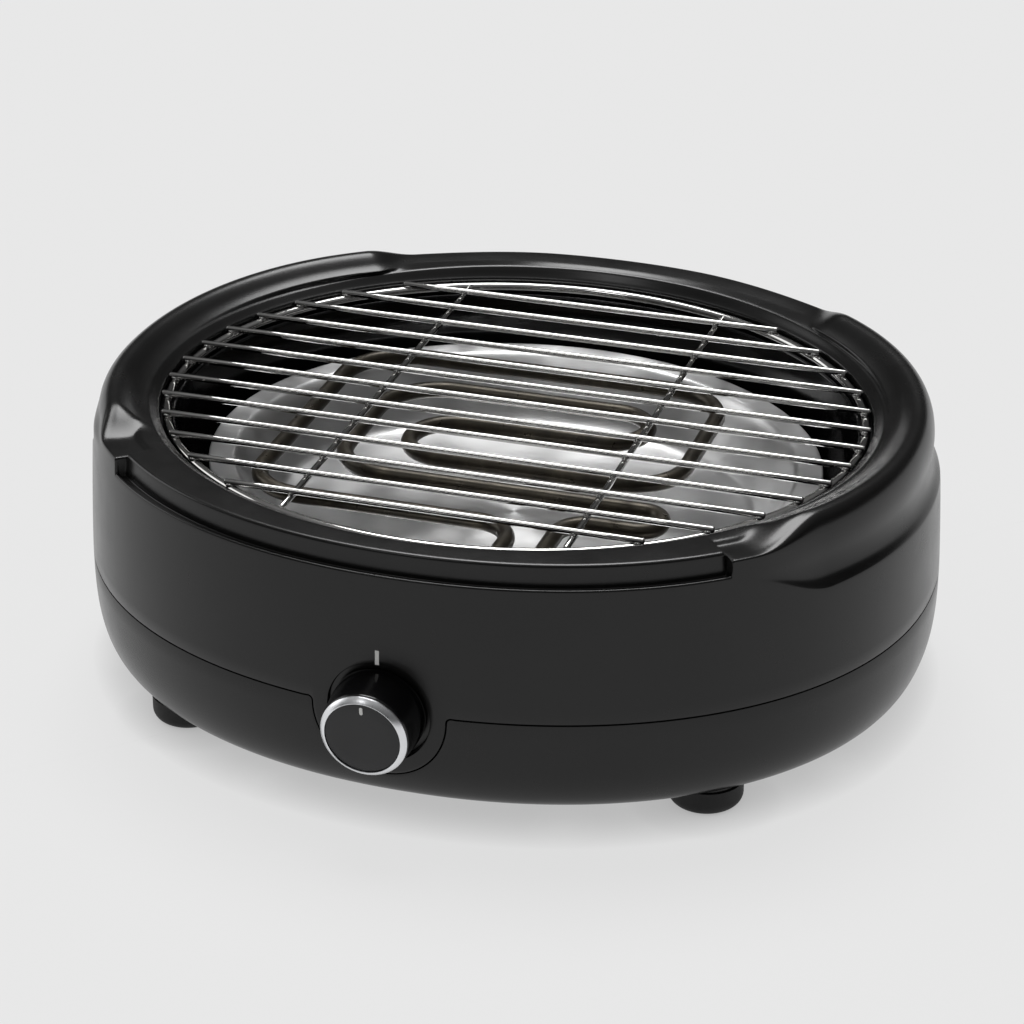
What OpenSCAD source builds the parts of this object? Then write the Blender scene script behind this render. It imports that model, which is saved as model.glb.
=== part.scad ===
// Countertop electric grill. An oval casing carries a basin, and in the basin lie a drip tray,
// a plug-in heating element and a wire rack, each of which lifts out. A knob on the front turns
// the thermostat. Millimetres, +Z up, origin at table level in the middle of the four feet.

/* [Rack] */
// Length of the rack's ring, between wire centres
rack_w = 332; // [300:1:360]
// Depth of the rack's ring, between wire centres
rack_d = 296; // [270:1:330]
// Height of the ring's wire centre above the table
rack_z = 128; // [122:1:140]
// Thickness of the ring's wire
ring_wire_d = 4.6; // [3.6:0.1:5.6]
// Thickness of the grill bars
bar_d = 3; // [2:0.1:4]
// Number of grill bars
bar_count = 13; // [10:1:15]
// Distance from one grill bar to the next
bar_pitch = 20.2; // [18:0.1:20.6]
// How far a bar reaches past the middle of the ring's wire
bar_overhang = 2.8; // [2:0.1:3.2]
// Distance between the two cross wires under the bars
cross_wire_spacing = 132; // [80:1:200]
// How deep one wire sinks into another at a weld
weld_sink = 0.4; // [0.2:0.1:0.6]

/* [Casing] */
// Width of the casing's rim at the two handles, from the middle of the ring's wire
rim_side_w = 37.3; // [34:0.1:50]
// Width of the casing's rim at the front and back, from the middle of the ring's wire
rim_front_w = 29.8; // [26:0.1:40]
// Inward lean of the upper shell's wall from the parting line to the mouth's edge
wall_lean = 3.4; // [0:0.1:6]
// Wall of the two plastic shells
wall = 2.8; // [2.2:0.1:3.4]
// Height of the parting line between the shells
seam_z = 60.6; // [56:0.1:66]
// Dark gap that shows at the parting line
seam_gap = 0.6; // [0.3:0.1:1]
// Sideways reach of the rounding that turns the wall into the underside
corner_w = 20.5; // [16:0.5:36]
// Height of the notch's outer edge below the mouth's edge
notch_drop = 6.4; // [4:0.1:8]
// Angle from the front to the right end of the low front edge
notch_right = 47.2; // [40:0.1:55]
// Angle from the front to the left end of the low front edge
notch_left = 53; // [40:0.1:55]
// Height of the two handle crests above the mouth's edge
crest_rise = 9.6; // [8:0.1:14]
// How much higher the handle crests get toward the back
crest_gain = 2.3; // [0:0.1:4]
// How much higher the rim gets toward the middle of the back
back_gain = 1.4; // [0:0.1:3]
// Height of the ridge around the mouth over the mouth's edge
ridge_rise = 3.1; // [2:0.1:5]
// Depth of the finger groove under a handle
groove_depth = 3; // [1.5:0.1:4]

/* [Knob] */
// Height of the knob's axis at the casing wall
knob_z = 58; // [54:0.5:62]
// Sideways place of the knob
knob_x = -6; // [-10:0.5:10]
// Angle by which the knob points down
knob_tilt = 4; // [0:0.5:8]
// Radius of the knob at its base
knob_base_r = 21.6; // [20:0.1:22.4]
// Radius of the knob at its face
knob_face_r = 20; // [18.5:0.1:20.4]
// Length from the casing wall to the knob's face
knob_reach = 20; // [18:0.5:28]
// Radius of the round tongue of the upper shell that carries the knob
tongue_r = 31; // [28:0.5:33]
// Depth of the dish in which the knob sits
dish_depth = 4; // [3:0.1:5]
// Radius of the thermostat's spindle
spindle_r = 3; // [2.5:0.05:3.5]

/* [Heating] */
// Diameter of the heating tube
tube_d = 8; // [6.6:0.1:8.4]
// Height of the tube's middle above the table
tube_z = 109; // [107:0.5:112]
// Distance between the two cold ends of the tube
cold_end_pitch = 19; // [15:0.5:24]
// Sideways place of the first cold end
cold_end_x = 27; // [20:0.5:32]
// Radius of the contact pins
pin_r = 2.4; // [2:0.1:2.8]

/* [Tray and basin] */
// Width of the tray's flat flange
flange_w = 10; // [7:0.5:12]
// Sheet thickness of the tray
tray_t = 0.8; // [0.6:0.1:1.2]
// Height of the top of the tray's flange
tray_rim_z = 104; // [102:0.5:104]
// Depth of the tray
tray_depth = 30; // [24:1:34]
// Free width between the basin's mouth and the tray at the sides
tray_gap_side = 15.5; // [12:0.5:20]
// Free width between the basin's mouth and the tray at the front and back
tray_gap_front = 12.5; // [10:0.5:16]
// Sheet thickness of the basin
basin_t = 1.2; // [0.8:0.1:1.6]
// Inward lean of the basin's wall from its mouth to its floor
basin_lean = 4; // [2:0.5:8]

/* [Feet] */
// Radius of a foot
foot_r = 17.2; // [14:0.1:20]
// Height of a foot
foot_h = 12.3; // [10:0.1:16]
// Distance of a foot's axis from the middle, left to right
foot_x = 125.5; // [110:0.5:135]
// Distance of a foot's axis from the middle, front to back
foot_y = 109.5; // [95:0.5:115]

/* [Cord inlet] */
// Radius of the inlet's bore
inlet_bore_r = 3.7; // [3:0.1:4.5]
// Height of the inlet above the table
inlet_z = 38; // [34:0.5:42]

/* [Hidden] */
$fn = 48;

// Colours
BLACK = [0.13, 0.13, 0.13];
GLOSS_BLACK = [0.04, 0.04, 0.04];
RUBBER = [0.08, 0.08, 0.08];
CHROME = [0.78, 0.78, 0.78];
POLISHED = [0.72, 0.72, 0.73];
TUBE = [0.22, 0.20, 0.17];
STEEL = [0.60, 0.60, 0.62];
BRASS = [0.72, 0.58, 0.28];
CERAMIC = [0.88, 0.86, 0.80];
PHENOLIC = [0.20, 0.13, 0.09];
WHITE = [0.90, 0.90, 0.90];
BLUE = [0.15, 0.25, 0.55];
BROWN = [0.35, 0.20, 0.12];

// Clearances
seat = 0.3;
slip = 0.05;
mouth_gap_side = 3.5;
mouth_gap_front = 4.5;

// Ovals
casing_power = 2.1;
casing_a = rack_w / 2 + rim_side_w;
casing_b = rack_d / 2 + rim_front_w;
mouth_a = rack_w / 2 + mouth_gap_side;
mouth_b = rack_d / 2 + mouth_gap_front;
mouth_z = rack_z + 3;
bottom_z = foot_h;
floor_z = bottom_z + wall;

// Basin and tray
ledge_z = rack_z - ring_wire_d / 2 - seat;
ledge_w = 3.5;
basin_a = rack_w / 2 - ledge_w;
basin_b = rack_d / 2 - ledge_w;
tray_a = basin_a - tray_gap_side;
tray_b = basin_b - tray_gap_front;
tray_floor_z = tray_rim_z - tray_depth;
basin_floor_z = tray_floor_z - tray_t - seat;
basin_bottom_z = basin_floor_z - basin_t;
tray_slope_w = 17;
tray_round = 6;

// Heating tube: outer runs keep these distances from the tray's inner edge
tube_r = tube_d / 2;
coil_left = -(tray_a - flange_w - 31);
coil_right = tray_a - flange_w - 53;
coil_back = tray_b - flange_w - 37.5;
coil_front = -(tray_b - flange_w - 40.5);
coil_col = 30;
row_share = [0, 0.195, 0.34, 0.582, 0.8, 1];
row = [for (share = row_share) coil_front + share * (coil_back - coil_front)];
return_pitch = 21;
cold_end_y = -(tray_b - 3);
cold_end_2x = cold_end_x + cold_end_pitch;
sheath_end_z = tube_z - 10;
pin_end_z = sheath_end_z - 18;

// Socket
socket_top_z = sheath_end_z - 4;
socket_h = 26;
socket_margin = 14;
socket_front = 14;
socket_back = 7;

// Knob
dish_r = knob_base_r + 2.4;
dish_floor = 3;
plug_back = -dish_depth - dish_floor;
bushing_r = 4.9;
nut_h = 2.6;
body_depth = 18;
body_size = 40;

// Screws and posts
screw_r = 1.75;
head_r = 3.6;
head_h = 2.4;
pillar_r = 5;
pillar_inset = 16;
pillar_foot_z = 34;
pillar_top_z = rack_z - 12;
rib_t = 2.4;
rib_top_z = mouth_z - 28;
rib_inset = wall - 0.4;
screw_angles = [20, 65, 115, 160, 200, 245, 295, 340];
post_x = 90;
post_y = 70;
post_r = 5;
shield_z = 58;
shield_t = 1;
vent_pitch = 12;
vent_y = 30;
vent_length = 40;

// ---- Curves ----

// Distance from the middle to an oval at the polar angle t
function oval_r(a, b, t, power = 2) =
    pow(pow(abs(cos(t)) / a, power) + pow(abs(sin(t)) / b, power), -1 / power);

// Point at the polar angle t on an oval that is pulled in by inset, at the height z
function oval_point(a, b, t, inset, z, power = 2) =
    let (r = oval_r(a, b, t, power) - inset) [r * cos(t), r * sin(t), z];

function casing_point(t, inset, z) = oval_point(casing_a, casing_b, t, inset, z, casing_power);
function mouth_point(t, inset, z) = oval_point(mouth_a, mouth_b, t, inset, z);

// How far the wall has leant in at the height z above the parting line
function lean(z) = wall_lean * pow(max(0, z - seam_z) / (mouth_z - seam_z), 1.3);

// Front or back reach of the casing at a sideways place x and an inset
function casing_y(x, inset = 0) =
    (casing_b - inset) * pow(1 - pow(abs(x) / (casing_a - inset), casing_power), 1 / casing_power);

// Half length of an ellipse's chord at y
function chord(a, b, y) = a * sqrt(max(0, 1 - pow(y / b, 2)));

// A share that runs smoothly from 0 to 1
function ease(x) = let (u = min(1, max(0, x))) u * u * (3 - 2 * u);

// Even polar angles
function angles(count) = [for (i = [0:count - 1]) i * 360 / count];

// ---- Solids from sections ----

// Triangles between neighbouring sections, each a list of `width` points
function skin(sections, width, closed) = [
    for (i = [0:sections - 1], j = [0:width - (closed ? 1 : 2)])
        let (
            a = i * width + j,
            b = ((i + 1) % sections) * width + j,
            c = ((i + 1) % sections) * width + (j + 1) % width,
            d = i * width + (j + 1) % width
        )
        each [[a, d, c], [a, c, b]]
];

// Ring-shaped solid: closed sections, swept once round the middle
module swept_ring(sections) {
    width = len(sections[0]);
    polyhedron(points = [for (s = sections) each s], faces = skin(len(sections), width, true));
}

// Bowl-shaped solid: each section runs from the underside, over the edge, to the inner floor
module swept_bowl(sections) {
    count = len(sections);
    width = len(sections[0]);
    under = [0, 0, sections[0][0][2]];
    inside = [0, 0, sections[0][width - 1][2]];
    polyhedron(
        points = concat([for (s = sections) each s], [under, inside]),
        faces = concat(
            skin(count, width, false),
            [for (i = [0:count - 1]) [count * width, i * width, ((i + 1) % count) * width]],
            [
                for (i = [0:count - 1])
                    [count * width + 1, ((i + 1) % count + 1) * width - 1, (i + 1) * width - 1]
            ]
        )
    );
}

// Solid with ring sections stacked upward and flat ends
module stacked(rings) {
    count = len(rings[0]);
    last = (len(rings) - 1) * count;
    polyhedron(
        points = [for (r = rings) each r],
        faces = concat(
            [
                for (k = [0:len(rings) - 2], i = [0:count - 1])
                    let (a = k * count + i, b = k * count + (i + 1) % count)
                    each [[a, a + count, b + count], [a, b + count, b]]
            ],
            [[for (i = [0:count - 1]) i]],
            [[for (i = [count - 1:-1:0]) last + i]]
        )
    );
}

// Round lead swept along a smooth route, whose tangents stay clear of the X axis
module lead(route, r) {
    sides = 8;
    steps = 4;
    path = concat([for (i = [0:len(route) - 2], s = [0:steps - 1]) spline(route, i, s / steps)],
        [route[len(route) - 1]]);
    rings = [
        for (i = [0:len(path) - 1])
            let (
                ahead = path[min(i + 1, len(path) - 1)] - path[max(i - 1, 0)],
                t = ahead / norm(ahead),
                u0 = [1, 0, 0] - t * t[0],
                u = u0 / norm(u0),
                v = cross(t, u)
            )
            [for (k = [0:sides - 1]) path[i] + r * (u * cos(k * 45) + v * sin(k * 45))]
    ];
    stacked(rings);
}

// Catmull-Rom point between route[i] and route[i + 1]
function spline(route, i, u) =
    let (
        p0 = route[max(i - 1, 0)],
        p1 = route[i],
        p2 = route[i + 1],
        p3 = route[min(i + 2, len(route) - 1)]
    )
    0.5 * (2 * p1 + (p2 - p0) * u + (2 * p0 - 5 * p1 + 4 * p2 - p3) * u * u
        + (3 * p1 - p0 - 3 * p2 + p3) * u * u * u);

// ---- Casing shape ----

// How far the wall has turned in at the height z below the parting line
corner_power = 3;
function corner_inset(z) =
    let (u = min(1, max(0, (seam_z - z) / (seam_z - bottom_z))))
    corner_w * (1 - pow(1 - pow(u, corner_power), 1 / corner_power));

// Angle from the front, 0 to 180, of a polar angle
function from_front(t) = abs(((t + 270) % 360 + 360) % 360 - 180);

// Turns from the front, on the right [0] and on the left [1]: length of the ramp to the handle,
// end of the low front edge, start of the ramp, start of the finger groove, and start of the
// handle's fall to the back rim
step_edge = 0.3;
ramp = [12, 8];
groove_run = 13;
fall_turn = 9;
notch_turn = [notch_right, notch_left];
ramp_start = [notch_right + 3.5, notch_left + 5.5];
groove_start = [notch_right + 2.5, notch_left + 12];
fall_start = [133, 137];

// Turns from the front of one side's sections
function half_turns(side) =
    let (notch = notch_turn[side], top = ramp_start[side] + ramp[side], fall = fall_start[side])
    concat(
        [for (i = [0:14]) i * (notch - step_edge) / 14],
        [for (i = [0:9]) notch + step_edge + i * (top - notch - step_edge) / 9],
        [for (i = [1:22]) top + i * (fall - top) / 22],
        [for (i = [1:6]) fall + i * fall_turn / 6],
        [for (i = [1:9]) fall + fall_turn + i * (180 - fall - fall_turn) / 9]
    );
left_turns = half_turns(1);
shell_angles = concat(
    [for (f = half_turns(0)) f - 90],
    [for (i = [len(left_turns) - 2:-1:1]) 270 - left_turns[i]]
);

// The upper shell's sections: [inset, height over the mouth's edge], from the outer foot of the
// wall up, over the rim to the mouth, and back down inside. The mouth's own five points count
// their inset from the mouth, the others count it from the casing's leaning outer wall.
wall_foot = seam_z - mouth_z;
wall_mid = wall_foot / 2;
lip_inset = 5.4;
ridge_out = 5.2;
ridge_gain = 1.7;
groove_first = 2;
groove_last = 6;
mouth_first = 12;
mouth_last = 16;
mouth_rim = [
    [-ridge_out, ridge_rise], [1.2 - ridge_out, ridge_rise - 0.5], [-0.4, 0.2], [0, -3.4], [-2.4, -3.8]
];
front_rim = concat(
    [
        [0, wall_foot], [0, wall_mid], [0, -25], [0, -19], [0, -14], [0, -10],
        [0.4, -notch_drop - 0.8], [1, -notch_drop], [2, -notch_drop], [2.5, -notch_drop - 1.4],
        [lip_inset - 0.6, -notch_drop - 1.4], [lip_inset, 2.6]
    ],
    mouth_rim,
    [
        [lip_inset + 3.4, -0.4], [lip_inset + 2.6, -notch_drop - 4.6],
        [wall + 1.8, -notch_drop - 4.8], [wall, -notch_drop - 8], [wall, -18], [wall, -26],
        [wall, wall_mid], [wall, wall_foot]
    ]
);
shelf_rim = concat(
    [
        [0, wall_foot], [0, wall_mid], [0, -12], [0, -11], [0, -10], [0, -9],
        [0, -3], [0, 0.2], [1.2, 1.2], [8, 1.3], [14.6, 1.4], [17.4, 3.2]
    ],
    mouth_rim,
    [
        [12, -1.6], [8, -1.6], [4.8, -1.8], [wall + 0.4, -5], [wall, -14], [wall, -26],
        [wall, wall_mid], [wall, wall_foot]
    ]
);
handle_rim = concat(
    [
        [0, wall_foot], [0, wall_mid], [0.1, -24.2], [groove_depth + 0.3, -19.6],
        [groove_depth + 0.6, -13], [2.9, -7.5], [2.7, -2], [3.6, crest_rise - 5.2],
        [6.2, crest_rise - 0.9], [9.8, crest_rise], [14.2, crest_rise - 1.4], [20, 4.9]
    ],
    mouth_rim,
    [
        [21.5, 0.8], [14.4, crest_rise - 4.4], [10, crest_rise - 3.4], [7, 2.6],
        [groove_depth + wall + 0.6, -13], [groove_depth + wall, -22], [wall, wall_mid],
        [wall, wall_foot]
    ]
);
back_rim = concat(
    [
        [0, wall_foot], [0, wall_mid], [0, -25], [0, -19], [0, -14], [0, -8],
        [0, -2], [0.1, 1.6], [0.7, 4], [2.4, 5.1], [8, 4.9], [13, 4.5]
    ],
    mouth_rim,
    [
        [12.4, 1], [8.6, 1.8], [5, 1.4], [wall + 0.4, -3], [wall, -14], [wall, -26],
        [wall, wall_mid], [wall, wall_foot]
    ]
);

// How far each section point follows the rim's gain in height
top_share = [0, 0, 0, 0, 0, 0, 0, 0.6, 1, 1, 1, 1, 0, 0, 0, 0, 0, 0.6, 1, 1, 0.6, 0, 0, 0, 0];

// The ramp up to a handle is long at the casing's wall and short near the mouth
function ramp_at(i, run) = i < 9 || i > mouth_last ? run : run * (1 - 0.217 * (i - 8));

// Section at the polar angle t: the finger groove opens ahead of the handle's crest
function rim_section(t) =
    let (
        f = from_front(t),
        side = cos(t) > 0 ? 0 : 1,
        notch = notch_turn[side],
        fall_end = fall_start[side] + fall_turn,
        fall = 1 - ease((f - fall_start[side]) / fall_turn),
        low = f < notch ? front_rim : f < 90 ? shelf_rim : back_rim,
        open = f < notch ? 0 : fall * ease((f - groove_start[side]) / groove_run),
        crest = crest_gain * ease((f - 92) / 40) * fall,
        gain = crest + back_gain * ease((f - fall_end) / 24),
        ridge = ridge_gain * ease((f - 115) / 50)
    )
    [
        for (i = [0:len(low) - 1])
            let (rise = f < notch ? 0 : fall * ease((f - ramp_start[side]) / ramp_at(i, ramp[side])))
            i >= groove_first && i <= groove_last
                ? low[i] + (handle_rim[i] - low[i]) * open
                : low[i] + (handle_rim[i] - low[i]) * rise
                    + [0, top_share[i] * gain + (i == mouth_first || i == mouth_first + 1 ? ridge : 0)]
    ];

module upper_shell_body() {
    swept_ring([
        for (t = shell_angles)
            let (s = rim_section(t))
            [
                for (i = [0:len(s) - 1])
                    let (z = mouth_z + s[i][1])
                    i < mouth_first || i > mouth_last
                        ? casing_point(t, s[i][0] + lean(z), z)
                        : mouth_point(t, s[i][0], z)
            ]
    ]);
}

// Filled lower part of the casing's outer form, for trimming what must end flush with it
module casing_core(top_z) {
    rings = 8;
    stacked([
        for (k = [0:rings])
            let (z = bottom_z + 6 + k * (top_z - bottom_z - 6) / rings)
            [for (t = angles(96)) casing_point(t, corner_inset(z) + lean(z), z)]
    ]);
}

// Frame of the knob: origin on its axis at the casing wall, +Z out along the axis
module at_knob() {
    translate([knob_x, -casing_y(knob_x), knob_z])
        rotate([90 + knob_tilt, 0, 0]) children();
}

// Place of a shell screw's axis
module at_shell_screws() {
    for (t = screw_angles)
        translate([casing_point(t, pillar_inset, 0)[0], casing_point(t, pillar_inset, 0)[1], 0])
            rotate([0, 0, t]) children();
}

module at_feet() {
    for (x = [-foot_x, foot_x], y = [-foot_y, foot_y]) translate([x, y, 0]) children();
}

module at_posts() {
    for (x = [-post_x, post_x], y = [-post_y, post_y]) translate([x, y, 0]) children();
}

// ---- Sub-parts ----

module upper_shell() {
    color(BLACK) difference() {
        union() {
            upper_shell_body();
            intersection() {
                casing_core(knob_z + tongue_r + 6);
                at_knob() translate([0, 0, plug_back]) cylinder(r = tongue_r, h = 14, $fn = 96);
            }
            at_shell_screws() {
                translate([0, 0, pillar_foot_z]) cylinder(r = pillar_r, h = pillar_top_z - pillar_foot_z);
                translate([pillar_r - 1, -rib_t / 2, seam_z + 6])
                    cube([pillar_inset - pillar_r + 1 - rib_inset, rib_t, rib_top_z - seam_z - 6]);
            }
        }
        at_knob() translate([0, 0, -dish_depth]) cylinder(r = dish_r, h = 14, $fn = 96);
        at_knob() translate([0, 0, plug_back - 1]) cylinder(r = bushing_r + 0.2, h = 10);
        at_shell_screws() translate([0, 0, pillar_foot_z - 1]) cylinder(r = screw_r, h = 16);
    }
}

module lower_shell() {
    lip_h = 4;
    lip_t = 1.4;
    lip_inset_out = wall + 0.25;
    under = [for (i = [8:-1:0]) let (u = sin(i * 11.25), z = seam_z - seam_gap
        - (seam_z - seam_gap - bottom_z) * pow(u, 2 / corner_power)) [corner_inset(z), z]];
    inner = [for (i = [1:6]) let (u = sin(i * 15), z = seam_z - 10
        - (seam_z - 10 - floor_z) * pow(u, 2 / corner_power)) [wall + corner_inset(z - wall) * 0.985, z]];
    profile = concat(
        [[corner_w + 50, bottom_z]],
        under,
        [[wall, seam_z - seam_gap], [lip_inset_out, seam_z - seam_gap], [lip_inset_out, seam_z + lip_h],
            [lip_inset_out + lip_t, seam_z + lip_h], [lip_inset_out + lip_t, seam_z - 4]],
        inner,
        [[corner_w + 50, floor_z]]
    );
    color(BLACK) difference() {
        union() {
            swept_bowl([for (t = angles(96)) [for (p = profile) casing_point(t, p[0], p[1])]]);
            at_feet() translate([0, 0, foot_h]) cylinder(r = foot_r - 1, h = 6);
            at_shell_screws() translate([0, 0, bottom_z + 6])
                cylinder(r = pillar_r + 0.6, h = pillar_foot_z - bottom_z - 6);
            translate([socket_mid_x(), socket_bracket_y(), bottom_z + 1]) cylinder(r = 8, h = wall + 1);
        }
        at_knob() translate([0, 0, -22]) cylinder(r = tongue_r + seam_gap, h = 40, $fn = 96);
        at_feet() translate([0, 0, foot_h - 1]) cylinder(r = screw_r, h = 8);
        at_shell_screws() {
            translate([0, 0, bottom_z - 3]) cylinder(r = screw_r + 0.4, h = 40);
            translate([0, 0, bottom_z - 3]) cylinder(r = head_r + 0.4, h = 16);
        }
        at_posts() translate([0, 0, bottom_z - 1]) cylinder(r = screw_r + 0.2, h = wall + 2);
        at_inlet() {
            translate([0, 0, -12]) cylinder(r = inlet_body_r + seat, h = 20);
            cylinder(r = inlet_flange_r + seat, h = 8);
        }
        for (x = [-5 * vent_pitch:vent_pitch:5 * vent_pitch], y = [-vent_y, vent_y])
            translate([x, y, bottom_z - 1]) vent_slot(vent_length, wall + 2);
    }
}

module vent_slot(length, height) {
    width = 4;
    translate([-width / 2, -length / 2 + width / 2, 0]) cube([width, length - width, height]);
    for (y = [-1, 1]) translate([0, y * (length - width) / 2, 0]) cylinder(r = width / 2, h = height);
}

module basin() {
    round = 8;
    flange_out = 5.5;
    wall_out = concat(
        [for (k = [0:3]) let (u = k * 30)
            [basin_lean + round - round * sin(u) - basin_t, basin_bottom_z + round - round * cos(u)]],
        [[-basin_t, ledge_z - basin_t]]
    );
    wall_in = concat(
        [[0, ledge_z]],
        [for (k = [3:-1:0]) let (u = k * 30)
            [basin_lean + round - (round - basin_t) * sin(u), basin_floor_z + round - basin_t
                - (round - basin_t) * cos(u)]]
    );
    profile = concat(
        [[60, basin_bottom_z]],
        wall_out,
        [[-ledge_w - flange_out, ledge_z - basin_t], [-ledge_w - flange_out, ledge_z]],
        wall_in,
        [[60, basin_floor_z]]
    );
    color(GLOSS_BLACK) difference() {
        swept_bowl([for (t = angles(72)) [for (p = profile) oval_point(basin_a, basin_b, t, p[0], p[1])]]);
        socket_block(seat);
    }
}

module rack_ring() {
    sides = 10;
    color(CHROME) swept_ring([
        for (t = angles(96))
            [
                for (k = [0:sides - 1])
                    oval_point(rack_w / 2, rack_d / 2, t, -ring_wire_d / 2 * cos(k * 360 / sides),
                        rack_z + ring_wire_d / 2 * sin(k * 360 / sides))
            ]
    ]);
}

bar_z = rack_z + ring_wire_d / 2 + bar_d / 2 - weld_sink;

module rack_bars() {
    color(CHROME) for (i = [1:bar_count]) {
        y = (i - (bar_count + 1) / 2) * bar_pitch;
        half = chord(rack_w / 2, rack_d / 2, y) + bar_overhang;
        translate([-half, y, bar_z]) rotate([0, 90, 0]) cylinder(r = bar_d / 2, h = 2 * half, $fn = 24);
    }
}

module rack_cross_wires() {
    color(CHROME) for (side = [-1, 1]) {
        x = side * cross_wire_spacing / 2;
        half = chord(rack_d / 2, rack_w / 2, x) - ring_wire_d / 2 + weld_sink;
        translate([x, -half, bar_z - bar_d + weld_sink]) rotate([-90, 0, 0])
            cylinder(r = bar_d / 2, h = 2 * half, $fn = 24);
    }
}

module drip_tray() {
    slope_top = flange_w + 3;
    roll = 1.6;
    color(POLISHED) difference() {
        swept_bowl([
            for (t = angles(96))
                [
                    for (p = [
                        [slope_top + tray_slope_w + 40, tray_floor_z - tray_t],
                        [slope_top + tray_slope_w + tray_round, tray_floor_z - tray_t],
                        [slope_top + tray_slope_w, tray_floor_z - tray_t + 1.6],
                        [slope_top + tray_slope_w - 3.4, tray_floor_z - tray_t + 6],
                        [slope_top + 1.2, tray_rim_z - tray_t - 3.2],
                        [slope_top - 2.4, tray_rim_z - tray_t],
                        [tray_t, tray_rim_z - tray_t],
                        [tray_t, tray_rim_z - roll],
                        [0, tray_rim_z - roll],
                        [0, tray_rim_z - 0.3],
                        [0.4, tray_rim_z],
                        [slope_top - 2, tray_rim_z],
                        [slope_top + 2, tray_rim_z - 3],
                        [slope_top + tray_slope_w - 2.6, tray_floor_z + 6.2],
                        [slope_top + tray_slope_w + 0.6, tray_floor_z + 1.6],
                        [slope_top + tray_slope_w + tray_round + 0.4, tray_floor_z],
                        [slope_top + tray_slope_w + 40, tray_floor_z]
                    ])
                        oval_point(tray_a, tray_b, t, p[0], p[1])
                ]
        ]);
        translate([cold_end_x - tube_r - 3, cold_end_y - 20, tray_rim_z - 8])
            cube([cold_end_pitch + 2 * tube_r + 6, 20 + tube_r + 1.5, 12]);
    }
}

// Corners of the tube's route, [x, y, bend radius], from the first cold end to the second
tube_corners = [
    [cold_end_x, row[0], 18],
    [coil_left, row[0], 27],
    [coil_left, row[5], 32],
    [coil_right, row[5], 30],
    [coil_right, row[2], 25],
    [coil_left + 56, row[2], (row[3] - row[2]) / 2],
    [coil_left + 56, row[3], (row[3] - row[2]) / 2],
    [coil_right - 28, row[3], (row[4] - row[3]) / 2],
    [coil_right - 28, row[4], (row[4] - row[3]) / 2],
    [coil_left + coil_col, row[4], 30],
    [coil_left + coil_col, row[1], 28],
    [coil_right + 5, row[1], return_pitch / 2],
    [coil_right + 5, row[1] - return_pitch, return_pitch / 2],
    [cold_end_2x, row[1] - return_pitch, 14]
];
cold_end_bend = 7;
tube_route = concat(
    [[cold_end_x, cold_end_y + cold_end_bend, 0]],
    tube_corners,
    [[cold_end_2x, cold_end_y + cold_end_bend, 0]]
);

function flat(p) = [p[0], p[1]];
function heading(p, q) = atan2(q[1] - p[1], q[0] - p[0]);
function turned(a, b) = ((b - a) % 360 + 540) % 360 - 180;

// Angle turned at corner i, and length of the straight that its bend takes
function corner_turn(i) =
    turned(heading(tube_route[i - 1], tube_route[i]), heading(tube_route[i], tube_route[i + 1]));
function corner_take(i) =
    i == 0 || i == len(tube_route) - 1 ? 0 : tube_route[i][2] * tan(abs(corner_turn(i)) / 2);

module tube_straight(i) {
    from = tube_route[i];
    to = tube_route[i + 1];
    length = norm(flat(to) - flat(from)) - corner_take(i) - corner_take(i + 1);
    if (length > 0.01)
        translate([from[0], from[1], tube_z]) rotate([0, 0, heading(from, to)])
            translate([corner_take(i), 0, 0]) rotate([0, 90, 0]) cylinder(r = tube_r, h = length);
}

module tube_bend(i) {
    h = heading(tube_route[i - 1], tube_route[i]);
    side = sign(corner_turn(i));
    r = tube_route[i][2];
    translate([tube_route[i][0], tube_route[i][1], tube_z]) rotate([0, 0, h])
        translate([-corner_take(i), side * r, 0]) rotate([0, 0, side > 0 ? -90 : 90 - abs(corner_turn(i))])
            rotate_extrude(angle = abs(corner_turn(i))) translate([r, 0]) circle(r = tube_r);
}

// Bend that turns a cold end down, and the straight below it
module cold_end(x) {
    translate([x, cold_end_y + cold_end_bend, tube_z - cold_end_bend]) rotate([90, 0, -90])
        rotate_extrude(angle = 90) translate([cold_end_bend, 0]) circle(r = tube_r);
    translate([x, cold_end_y, sheath_end_z]) cylinder(r = tube_r, h = tube_z - cold_end_bend - sheath_end_z);
}

module heating_tube() {
    color(TUBE) {
        for (i = [0:len(tube_route) - 2]) tube_straight(i);
        for (i = [1:len(tube_route) - 2]) tube_bend(i);
        for (x = [cold_end_x, cold_end_2x]) cold_end(x);
    }
}

module tube_end_collars() {
    color(CERAMIC) for (x = [cold_end_x, cold_end_2x]) translate([x, cold_end_y, sheath_end_z - 3])
        difference() {
            cylinder(r = tube_r + 0.8, h = 3);
            translate([0, 0, -1]) cylinder(r = pin_r, h = 5);
        }
}

module contact_pins() {
    color(STEEL) for (x = [cold_end_x, cold_end_2x]) translate([x, cold_end_y, pin_end_z])
        cylinder(r = pin_r, h = sheath_end_z - pin_end_z);
}

function socket_mid_x() = cold_end_x + cold_end_pitch / 2;
function socket_bracket_y() = cold_end_y - socket_front + 4;

// Outer form of the socket block, grown by `gap` all round
module socket_block(gap) {
    w = cold_end_pitch + 2 * socket_margin;
    translate([cold_end_x - socket_margin - gap, cold_end_y - socket_front - gap,
        socket_top_z - socket_h - gap])
        cube([w + 2 * gap, socket_front + socket_back + 2 * gap, socket_h + 2 * gap]);
}

module element_socket() {
    color(PHENOLIC) difference() {
        socket_block(0);
        for (x = [cold_end_x, cold_end_2x]) translate([x, cold_end_y, socket_top_z - socket_h + 2])
            cylinder(r = pin_r + 1, h = socket_h);
    }
}

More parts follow.
